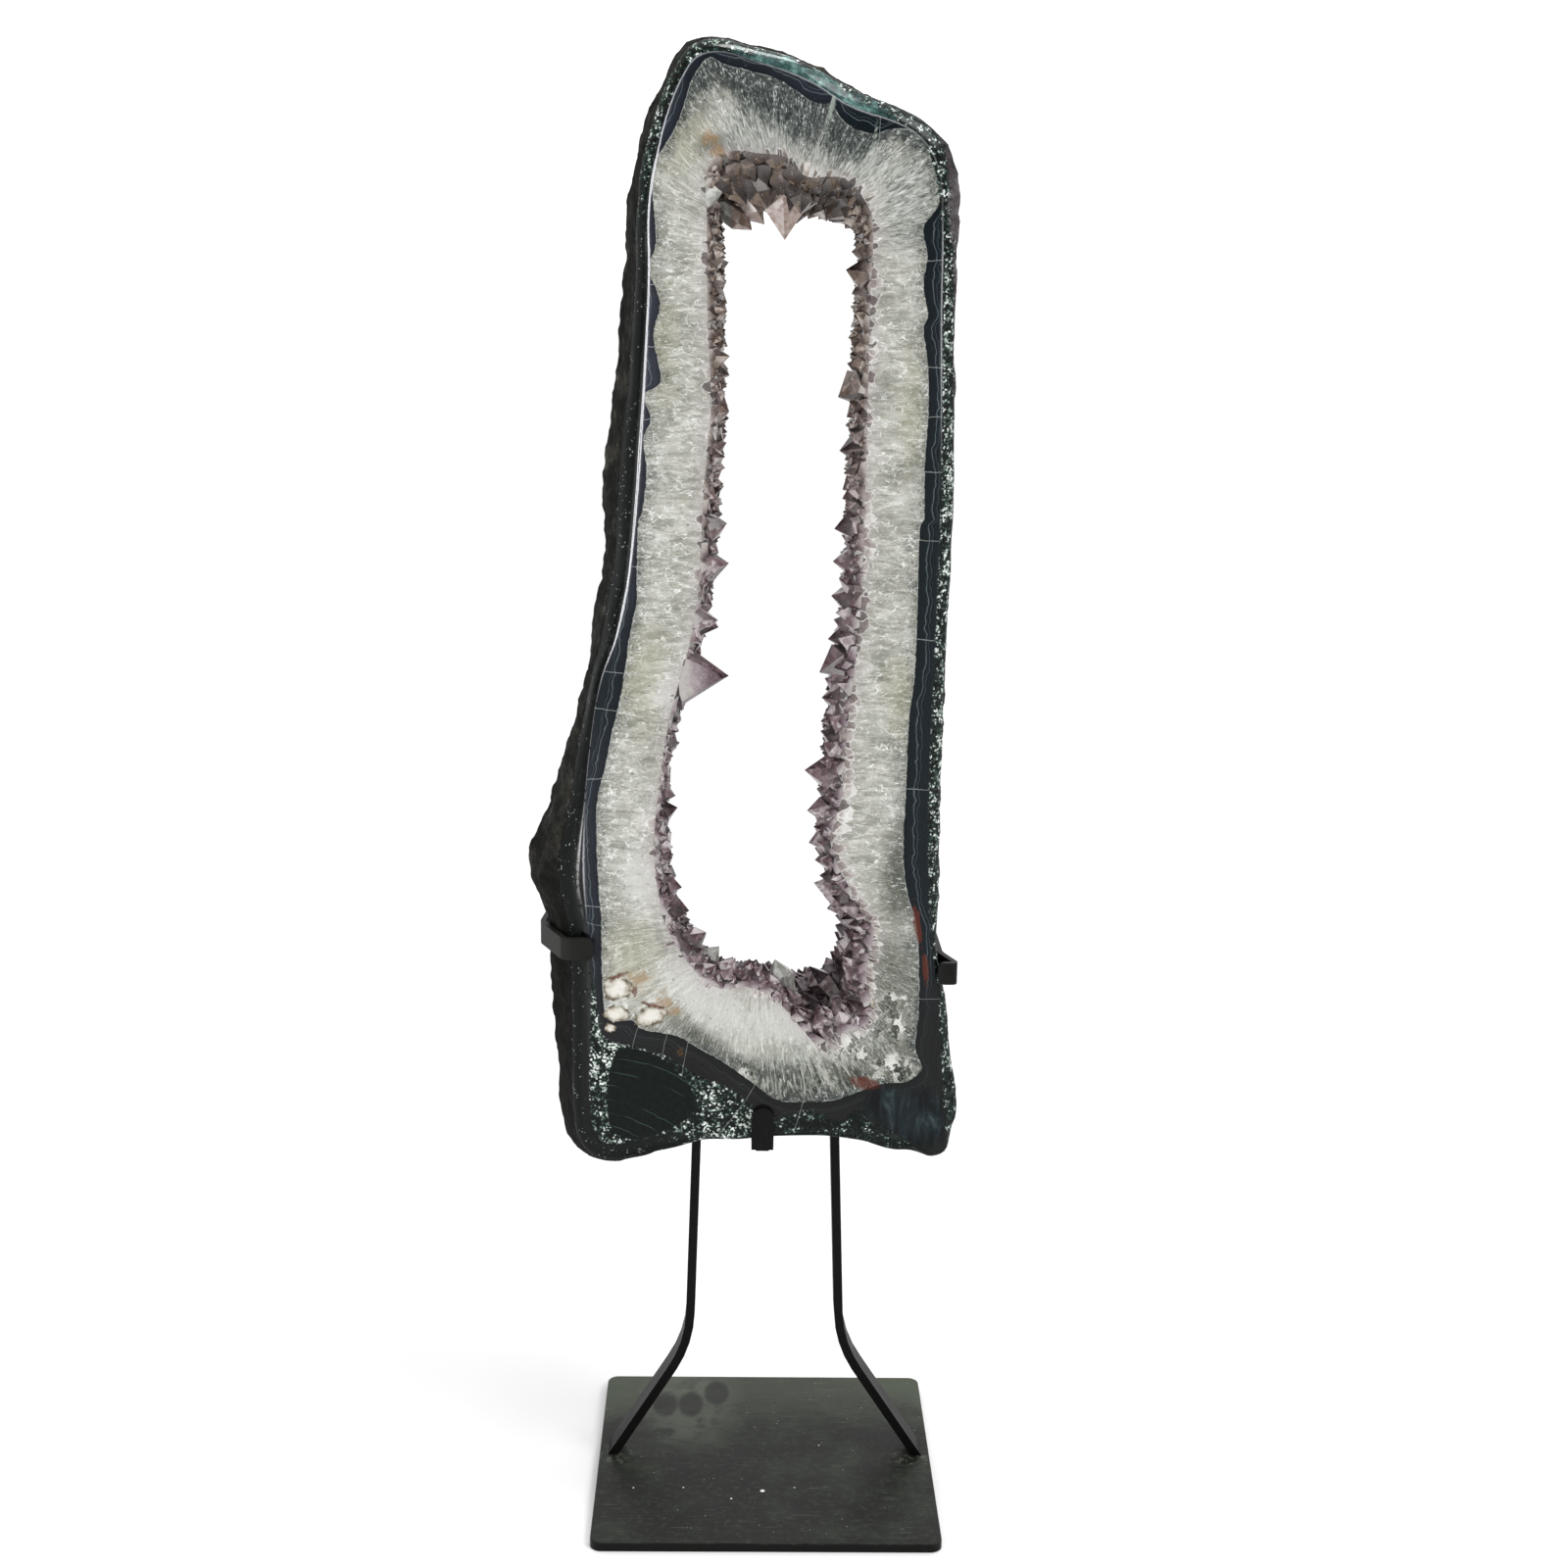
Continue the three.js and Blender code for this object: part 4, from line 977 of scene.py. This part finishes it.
def agate_colour(n):
    """Slate to black bands that follow the quartz's edge, with fine pale lines."""
    depth = n.shaken(n.field("agate"), n.cloud(17, detail=2), 11)
    lines = n.noise(n.add("CombineXYZ", {0: n.times(depth, 0.75)}).outputs[0], detail=3, rough=0.7)
    dark = n.ramp(lines, [(0.3, "04080a"), (0.5, "0d161a"), (0.66, "1a272c"), (0.8, "32444a")])
    slate = n.ramp(lines, [(0.25, "24262d"), (0.5, "31333c"), (0.75, "464853")])
    low = n.step(n.xyz()[2], 640, 560)
    dark = n.mix(n.times(low, 0.7), dark, n.ramp(lines, [(0.35, "080706"), (0.7, "2a2723")]))
    base = n.mix(n.field("slate"), dark, slate)
    base = n.paint(base, "0a0d10", depth, 7, 0, 0.5)
    high = n.scaled(low, -0.8, 1)
    for line, width, share, shade in ((9, 0.8, 0.45, "76838a"), (12.6, 0.5, 0.4, "5c686e")):
        base = n.mix(n.times(n.peak(depth, line, width), n.times(high, share)), base, shade)
    return base


def crumb_colour(n):
    """Dark crumbly rim with clusters of white and green grains, more of them where the snow field is high."""
    pick = n.scaled(n.cloud(8), 0.75, n.times(n.cell_value(n.grain(1.8)), 0.45))
    return n.ramp(n.math("ADD", pick, n.field("snow")), [
        (0.4, "050807"), (0.62, "0c1311"), (0.73, "1b2b25"),
        (0.79, "41554c"), (0.85, "aab6af"), (0.92, "e3e8e4")])


def nodule_colours(n, base, shake):
    """Adds the calcite nodules, the yellow stains and the rust round them."""
    base = n.mix(n.spot("stain", n.cloud(9, detail=4), 2.2, 0.05, 0.8, 0.5), base, "936b33")
    folds = n.shaken(n.field("calcite"), n.cloud(7, detail=4), 1.4)
    chalk = n.ramp(folds, [(0.15, "5d5546"), (0.3, "a39c8d"), (0.5, "cbc7bd"), (0.75, "dcd9d2")])
    base = n.mix(n.spot("calcite", shake, 1.1, 0.08, 0.2, 0.95), base, chalk)
    return n.mix(n.spot("rust", shake, 1.2, 0.1, 0.5, 0.75), base, "5a2a1e")


def pocket_colour(n, shake):
    """Dark green chalcedony with thin pale arcs."""
    ripple = n.shaken(n.distance(n.place(), (-175, FACE_Y, 345)), n.cloud(40), 12)
    arc = n.step(n.math("ABSOLUTE", n.math("SINE", n.times(ripple, 0.22))), 0.1, 0.01)
    patchy = n.times(n.step(n.cloud(30), 0.45, 0.6), 0.35)
    return n.mix(n.times(arc, patchy), n.ramp(shake, [(0.3, "020504"), (0.7, "071410")]), "5f7d71")


def face_colour(n, fibre, sugar, shake):
    """The polished face inside its rim: quartz, agate, nodules and the glassy foot with painted sheen
    streaks.
    """
    base = quartz_colour(n, fibre, sugar)
    agate = n.shaken(n.field("agate"), shake, 3)
    base = n.paint(base, agate_colour(n), agate, -0.4, 0.6)
    thin = n.times(n.peak(agate, 0, 0.7), n.step(n.cloud(14), 0.4, 0.6))
    base = n.mix(n.times(thin, 0.6), base, "b9bdb8")
    base = n.mix(n.spot("seams", shake, 1.6, 0.1, 0.7, 0.6), base, "a9b3aa")
    base = nodule_colours(n, base, shake)
    # Painted sheen: paler streaks on the dark glassy foot
    sheen = n.noise(n.place((1 / 15, 1 / 15, 1 / 46)), detail=5, rough=0.6, distort=0.6)
    glassy = n.ramp(sheen, [(0.4, "04080a"), (0.5, "0e1619"), (0.58, "1c272b"), (0.68, "3d4a4e")])
    return n.mix(n.spot("foot", shake, 0.9, 0.05, 0.5, 0.9), base, glassy)


def rim_share(n, shake):
    """Where the face is crumbly: along its edge, and low down round the pocket."""
    edge = n.shaken(n.math("SUBTRACT", n.field("granular"), n.field("from_edge")), shake, 9)
    low = n.shaken(n.field("crumbs"), shake, 12)
    return n.math("MAXIMUM", n.step(edge, -0.8, 0.8), n.step(low, -1.5, 1.5))


def bevel_colour(n, shake, crumbs):
    """The band round the face's edge: black at the left, teal at the top, crumbly where grit is high."""
    black = n.ramp(shake, [(0.3, "030404"), (0.7, "0b0e0f")])
    teal = n.ramp(n.cloud(9, detail=5, rough=0.65), [
        (0.34, "14282a"), (0.5, "35524f"), (0.64, "6b8b87"), (0.72, "b9cdc9")])
    base = n.mix(n.field("teal"), black, teal)
    outer = n.times(n.times(n.field("past"), n.field("teal")), 0.06)
    grit = n.shaken(n.math("ADD", n.field("grit"), outer), n.cloud(10), 1.2)
    crumbs = n.mix(n.spot("lichen", shake, 1.0, 0.0, 0.6, 0.7), crumbs, "4f7a4c", "SOFT_LIGHT")
    return n.paint(base, crumbs, grit, 0.35, 0.6)


def rock_colour(n, shake):
    """The rough side: charcoal with paler patches, sooty low at the left, mauve-grey at the upper right."""
    rock = n.ramp(n.cloud(26, detail=8, rough=0.72), [
        (0.3, "070706"), (0.47, "191916"), (0.6, "353430"), (0.72, "67645a")])
    soot = n.field("soot")
    rock = n.paint(rock, n.ramp(shake, [(0.3, "050505"), (0.7, "111110")]), soot, 0, 1, 0.8)
    mottle = n.scaled(n.cloud(30, detail=7, rough=0.65), 0.8, n.times(shake, 0.2))
    mauve = n.ramp(mottle, [(0.36, "332f31"), (0.5, "585255"), (0.62, "7f797b")])
    return n.paint(rock, mauve, soot, 0, -1, 0.8)


def stone_colour(n, shake, rim, past, rough):
    """All of the stone: the face, its rim, cracks and pocket, the bevel and the rock behind it, with a
    painted white highlight line along the face's edge and pale specks, partly painted glints, on the rim.
    """
    crumbs = crumb_colour(n)
    fibre = n.streaks(5, 9, detail=5, rough=0.66, distort=2.8)
    base = n.mix(rim, face_colour(n, fibre, n.cloud(1.7, rough=0.65), shake), crumbs)
    crack = n.peak(n.shaken(n.field("crack"), shake, 2.5), 0, 0.5)
    crack = n.times(crack, n.step(n.field("crack_past"), 0, 8))
    base = n.mix(n.times(crack, 0.55), base, "b9beb9")
    base = n.paint(base, pocket_colour(n, shake), n.shaken(n.field("pocket"), shake, 5), -0.6, 1.0)
    base = n.paint(base, bevel_colour(n, shake, crumbs), past, 0.8, 1.6)
    # Pale green-white specks past the face's edge: partly mineral grains, partly painted glints
    specks = n.times(n.step(n.cells(n.grain(3.4)), 0.24, 0.12), n.step(n.cloud(12), 0.5, 0.58))
    specks = n.times(specks, n.times(n.step(past, 2, 5), n.step(past, 26, 18)))
    base = n.mix(specks, base, "a3b2aa")
    base = n.mix(rough, base, rock_colour(n, shake))
    # Painted highlight: a thin white line along the rounded edge of the face
    line = n.times(n.peak(n.shaken(past, shake, 0.3), 1.0, 0.3), n.field("painted_arris_highlight_and_shine"))
    return n.mix(n.times(line, 0.95), base, "eff0f6")


def stone_material():
    """Polished on the face, with a wet shine along parts of its edge, and rough on the rock's side."""
    n = Nodes("geode_stone")
    shake = n.cloud(5)
    rim = rim_share(n, shake)
    past = n.field("past")
    rough = n.step(n.shaken(n.field("rough"), shake, 1.0), 0.1, 0.5)
    base = stone_colour(n, shake, rim, past, rough)
    gloss = n.scaled(rim, 0.15, n.scaled(rough, 0.4, 0.1))
    sawn_back = n.step(n.xyz()[1], -30, -15)
    gloss = n.scaled(n.math("MAXIMUM", n.step(past, 2.5, 6), sawn_back), 0.35, gloss)
    arris = n.times(n.step(past, 3.4, 2.0), n.field("painted_arris_highlight_and_shine"))
    arris = n.math("MAXIMUM", arris, n.times(n.field("teal"), 0.4))
    polish = n.times(n.times(arris, n.step(past, 0.1, 0.5)), n.step(rough, 0.6, 0.1))
    polish = n.times(polish, n.step(n.field("soot"), 0.75, 0.3))
    height = n.times(n.cloud(18, detail=9, rough=0.68), n.scaled(rough, 1.0, 0.005))
    n.surface(
        Base_Color=base, Roughness=gloss, IOR=1.54, Specular_IOR_Level=0.12,
        Coat_Weight=polish, Coat_Roughness=0.07, Normal=n.bump(height, 0.8, 0.009))
    return n.material


# Crystals' material

def section_colour(n):
    """Polished sections of the crystals: white at the root, mauve or higher up brown towards the point."""
    share = n.shaken(n.shaken(n.field("along"), n.cloud(7, detail=4, rough=0.6), 0.7), n.cloud(2), 0.3)
    mauve = n.ramp(share, [(0.1, "b8b5b0"), (0.35, "988b8f"), (0.6, "705d65"), (0.9, "46343d")])
    brown = n.ramp(share, [(0.1, "bab6ae"), (0.35, "978c85"), (0.6, "6d5f57"), (0.9, "40342d")])
    return n.paint(mauve, brown, n.xyz()[2], 900, 1150)


def painted_reflection_patches(n):
    """Painted inner reflections: a random tone for each small angular patch inside a crystal."""
    return n.cell_value(n.bent(n.grain(5), 9, 0.8))


def crystal_material():
    """Dark smoky purple crystals whose facets differ in a painted tone of light and shade, with painted white
    glints, brown in the upper end of the hole.
    """
    n = Nodes("amethyst")
    cloud = n.cloud(5, detail=4, rough=0.65)
    # Painted light and shade: each face's random tone makes its facet lit or shaded
    tone = n.scaled(n.field("tint"), 0.25, n.times(n.field("tone"), 0.75))
    tone = n.scaled(cloud, 0.6, n.math("SUBTRACT", tone, 0.31))
    tone = n.shaken(tone, painted_reflection_patches(n), 0.3)
    purple = n.ramp(tone, [(0.12, "26181c"), (0.4, "554145"), (0.66, "826c71"), (0.9, "d3cacc")])
    brown = n.ramp(tone, [(0.12, "201612"), (0.4, "4e3f35"), (0.66, "7a685c"), (0.9, "cbbfb3")])
    dark_brown = n.ramp(tone, [(0.12, "120b08"), (0.4, "291f18"), (0.66, "43362c"), (0.9, "7b6a5a")])
    x, _, z = n.xyz()
    base = n.paint(purple, brown, z, 950, 1250)
    base = n.mix(n.field("cut"), base, section_colour(n))
    top = n.times(n.step(n.shaken(z, cloud, 12), 1318, 1340), n.step(x, -54, -48))
    base = n.mix(top, base, dark_brown)
    along = n.field("along")
    base = n.paint(base, "cbc4c3", along, 0.8, 0.1, 0.2)
    base = n.paint(base, "33222a", along, 0.75, 1.0, 0.4)
    # Painted glints: small white spots on the facets
    base = n.paint(base, "f4f0f2", n.cloud(1.2, detail=2, rough=0.6), 0.69, 0.73)
    n.surface(
        Base_Color=base, Roughness=0.2, IOR=1.54, Specular_IOR_Level=0.25, Transmission_Weight=0.2)
    return n.material


def clear_crystal_material():
    """Pale crystals that light passes through, their facets in painted light and shade: pink where they hang
    in the hole's upper end, else white.
    """
    n = Nodes("clear_quartz")
    lit_and_shaded_tone = n.scaled(n.cloud(6, detail=4, rough=0.65), 0.45, n.times(n.field("tone"), 0.55))
    lit_and_shaded_tone = n.shaken(lit_and_shaded_tone, painted_reflection_patches(n), 0.4)
    pink = n.ramp(lit_and_shaded_tone, [(0.2, "8d776d"), (0.45, "b5a096"), (0.65, "cdbdb6"), (0.85, "e6dcd7")])
    white = n.ramp(lit_and_shaded_tone, [(0.2, "8f8e88"), (0.45, "b3b3ad"), (0.65, "cfcfca"), (0.85, "ebebe8")])
    x, _, z = n.xyz()
    hanging = n.times(n.step(z, 1280, 1290), n.step(x, -52, -46))
    n.surface(
        Base_Color=n.mix(hanging, white, pink), Roughness=0.16, IOR=1.54, Transmission_Weight=0.3)
    return n.material


# Stand's materials

def stand_material(name, dark, light):
    """Matt black paint with dusty scuffs, from a dark to a light tone."""
    n = Nodes(name)
    wear = n.cloud(60, detail=5, rough=0.6)
    base = n.ramp(wear, [(0.32, dark), (0.68, light)])
    scuff = n.noise(n.place((1 / 4, 1 / 4, 1 / 28)), detail=5, rough=0.7)
    base = n.paint(base, "4a4b45", scuff, 0.6, 0.72, 0.22)
    n.surface(
        Base_Color=base, Roughness=n.scaled(wear, 0.25, 0.38), Specular_IOR_Level=0.12,
        Normal=n.bump(n.cloud(1.2), 0.25, 0.0004))
    return n.material


# Marks on the plate in mm: (x, y) of the finger marks and the smudge, white specks (x, y, radius), dusty legs
FINGER_MARKS = [(-112, 112), (-83, 113), (-54, 140)]
SMUDGE = (-85, 115)
WHITE_SPECKS = [
    (-3, -76, 2.4), (-140, -71, 0.9), (-87, -70, 0.9), (-36, -92, 1.1), (31, -69, 0.8), (60, 21, 0.8),
]
LEGS = [(-160, 0), (160, 0)]


def smudged_colour(n, smear, x, y):
    """Dark olive paint, lighter towards the plate's back and its back corners, and darker towards its front.
    """
    base = n.ramp(n.cloud(60, detail=6, rough=0.68), [
        (0.34, "080a07"), (0.5, "131611"), (0.62, "20241d"), (0.74, "30352b")])
    base = n.paint(base, "363a31", smear, 0.5, 0.72, 0.4)
    base = n.paint(base, "3b4036", n.shaken(y, smear, 160), 40, 150, 0.75)
    corner = n.shaken(n.math("ADD", n.math("ABSOLUTE", x), y), n.cloud(40, detail=5), 160)
    base = n.paint(base, "4a5242", corner, 230, 320, 0.5)
    base = n.paint(base, "070806", y, 20, -130, 0.35)
    base = n.paint(base, "41453b", n.cloud(7, detail=6, rough=0.75), 0.5, 0.68, 0.35)
    smudge = n.times(n.step(spot_distance(n, *SMUDGE, 0.6), 80, 20), n.step(n.cloud(22), 0.3, 0.6))
    return n.mix(n.times(smudge, 0.6), base, "575b50")


def plate_material():
    """Smudged paint with finger marks, dust round the legs, fine scratches and white specks."""
    n = Nodes("plate_paint")
    smear = n.noise(n.place((1 / 120, 1 / 30, 1)), detail=6, rough=0.7, distort=1.4)
    x, y, z = n.xyz()
    base = smudged_colour(n, smear, x, y)
    for mark in FINGER_MARKS:
        base = n.paint(base, "11130f", spot_distance(n, *mark, 0.5), 17, 11, 0.8)
    for leg in LEGS:
        dust = n.times(n.step(spot_distance(n, *leg, 1.0), 30, 12), n.step(n.cloud(6, detail=4), 0.48, 0.62))
        base = n.mix(n.times(dust, 0.5), base, "5d6156")
    scratch = n.noise(n.place((1 / 40, 1 / 1.2, 1)), detail=3, rough=0.75, distort=0.3)
    base = n.paint(base, "7d8176", scratch, 0.62, 0.74, 0.45)
    base = n.paint(base, "b5b6ad", n.cells(n.grain(15)), 0.07, 0.02, 0.5)
    for *speck, radius in WHITE_SPECKS:
        base = n.paint(base, "e8e8e4", spot_distance(n, *speck, 1.0), radius + 0.4, radius - 0.4)
    base = n.paint(base, "0a0b09", z, 9.2, 8.2)
    n.surface(
        Base_Color=base, Roughness=n.scaled(smear, 0.3, 0.3), Specular_IOR_Level=0.12,
        Normal=n.bump(n.cloud(1.5), 0.15, 0.0004))
    return n.material


def spot_distance(n, x, y, squash):
    """Distance in mm from a place on the plate's top, where lengths front to back count by a factor."""
    centre = (x, y * squash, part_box("base_plate")[1].z / MM)
    return n.distance(n.place((1, squash, 1)), centre)


def dress(node, material):
    """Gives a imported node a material."""
    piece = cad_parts[node]
    piece.data.materials.clear()
    piece.data.materials.append(material)
    return piece


# Softened edges of the stand: widths in metres, and the least bend of an edge in degrees
BAR_EDGE = 0.0007
CLAMP_EDGE = 0.002
SOFTENED_ANGLE = 40


def soften_edges(piece, width):
    bevel = piece.modifiers.new("worn_edge", "BEVEL")
    bevel.width = width
    bevel.segments = 2
    bevel.limit_method = "ANGLE"
    bevel.angle_limit = math.radians(SOFTENED_ANGLE)


def dress_stand():
    bars = stand_material("stand_paint", "030303", "0b0b0a")
    # The clamps get a lighter copy of the black paint, a painted sheen
    sheen_lit_clamp_material = stand_material("clamp_sheen_paint", "0e0e0d", "232321")
    for node in ("leg_left", "leg_right", "cross_bar", "arm_left", "arm_right", "bottom_hook"):
        soften_edges(dress(node, bars), BAR_EDGE)
    for node in ("clamp_left", "clamp_right"):
        soften_edges(dress(node, sheen_lit_clamp_material), CLAMP_EDGE)
    dress("base_plate", plate_material())


# Studio

# The surround's strength rises from the first to the second value as its way along Y does
BACKDROP_WAY = (-0.4, 0.4)
BACKDROP_STRENGTH = (0.3, 1.25)
FLOOR_REACH = 60
# Camera: lens and sensor in mm, then degrees turned, looking down and rolled
LENS = 54
SENSOR = 36
CAMERA_TURN = -1.18
CAMERA_DOWN = 13.15
CAMERA_ROLL = 0.89


def backdrop_light():
    """A surround that looks white, and lights the object less from the side that the face looks at."""
    world = bpy.data.worlds.new("studio")
    bpy.context.scene.world = world
    world.use_nodes = True
    tree = world.node_tree
    kinds = ("TexCoord", "SeparateXYZ", "MapRange", "LightPath", "Math")
    way, parts, span, seen, strength = (tree.nodes.new("ShaderNode" + kind) for kind in kinds)
    for key, value in zip(("From Min", "From Max", "To Min", "To Max"), BACKDROP_WAY + BACKDROP_STRENGTH):
        span.inputs[key].default_value = value
    strength.operation = "MAXIMUM"
    tree.links.new(way.outputs["Generated"], parts.inputs[0])
    tree.links.new(parts.outputs["Y"], span.inputs["Value"])
    tree.links.new(span.outputs["Result"], strength.inputs[0])
    tree.links.new(seen.outputs["Is Camera Ray"], strength.inputs[1])
    tree.links.new(strength.outputs[0], tree.nodes["Background"].inputs["Strength"])
    tree.nodes["Background"].inputs["Color"].default_value = (1, 1, 1, 1)


def pale_floor():
    corners = [(x * FLOOR_REACH, y * FLOOR_REACH, 0) for x, y in ((-1, -1), (1, -1), (1, 1), (-1, 1))]
    mesh = bpy.data.meshes.new("floor")
    mesh.from_pydata(corners, [], [(0, 1, 2, 3)])
    floor = bpy.data.objects.new("floor", mesh)
    bpy.context.scene.collection.objects.link(floor)
    n = Nodes("floor")
    n.surface(Base_Color=(0.9, 0.9, 0.9, 1), Roughness=0.9)
    mesh.materials.append(n.material)


def lamp(name, kind, at, to, power, **settings):
    light = bpy.data.lights.new(name, kind)
    light.energy = power
    for key, value in settings.items():
        setattr(light, key, value)
    holder = bpy.data.objects.new(name, light)
    holder.location = at
    holder.rotation_euler = (Vector(to) - Vector(at)).to_track_quat("-Z", "Y").to_euler()
    holder.visible_camera = False
    bpy.context.scene.collection.objects.link(holder)


def lights():
    middle = (0, -0.07, 0.9)
    lamp("key", "SUN", (1.6, -1.3, 2.8), middle, 1.5, angle=math.radians(30))
    lamp("left_strip", "AREA", (-1.5, -1.62, 0.85), middle, 16, shape="RECTANGLE", size=0.16, size_y=1.7)
    lamp("top_box", "AREA", (0.3, -0.35, 3.2), middle, 24, shape="RECTANGLE", size=0.9, size_y=0.35)


def camera():
    data = bpy.data.cameras.new("camera")
    data.lens = LENS
    data.sensor_width = SENSOR
    view = bpy.data.objects.new("camera", data)
    view.location = EYE * MM
    turn = Matrix.Rotation(math.radians(CAMERA_TURN), 4, "Z")
    turn = turn @ Matrix.Rotation(math.radians(90 - CAMERA_DOWN), 4, "X")
    turn = turn @ Matrix.Rotation(math.radians(CAMERA_ROLL), 4, "Z")
    view.rotation_euler = turn.to_euler()
    bpy.context.scene.collection.objects.link(view)
    bpy.context.scene.camera = view


stone_piece = stone()
stone_piece.data.materials.append(stone_material())
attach(stone_piece, "root")
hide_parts("geode")

draw = np.random.default_rng(SEED)
large = chosen_crystals(LARGE_CRYSTALS) + chosen_crystals(SHARP_CRYSTALS, SHARP_STEEPNESS)
clear = chosen_crystals(CLEAR_CRYSTALS, CLEAR_STEEPNESS)
crust = crystal_piece("amethyst_crystals", large + crystal_brood(large + clear, draw), draw)
crust.data.materials.append(crystal_material())
clear_crust = crystal_piece("clear_crystals", clear, draw)
clear_crust.data.materials.append(clear_crystal_material())
for piece in (crust, clear_crust):
    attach(piece, "root")
    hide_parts("amethyst_crust")

dress_stand()
backdrop_light()
pale_floor()
lights()
camera()
bpy.context.scene.view_settings.view_transform = "Standard"
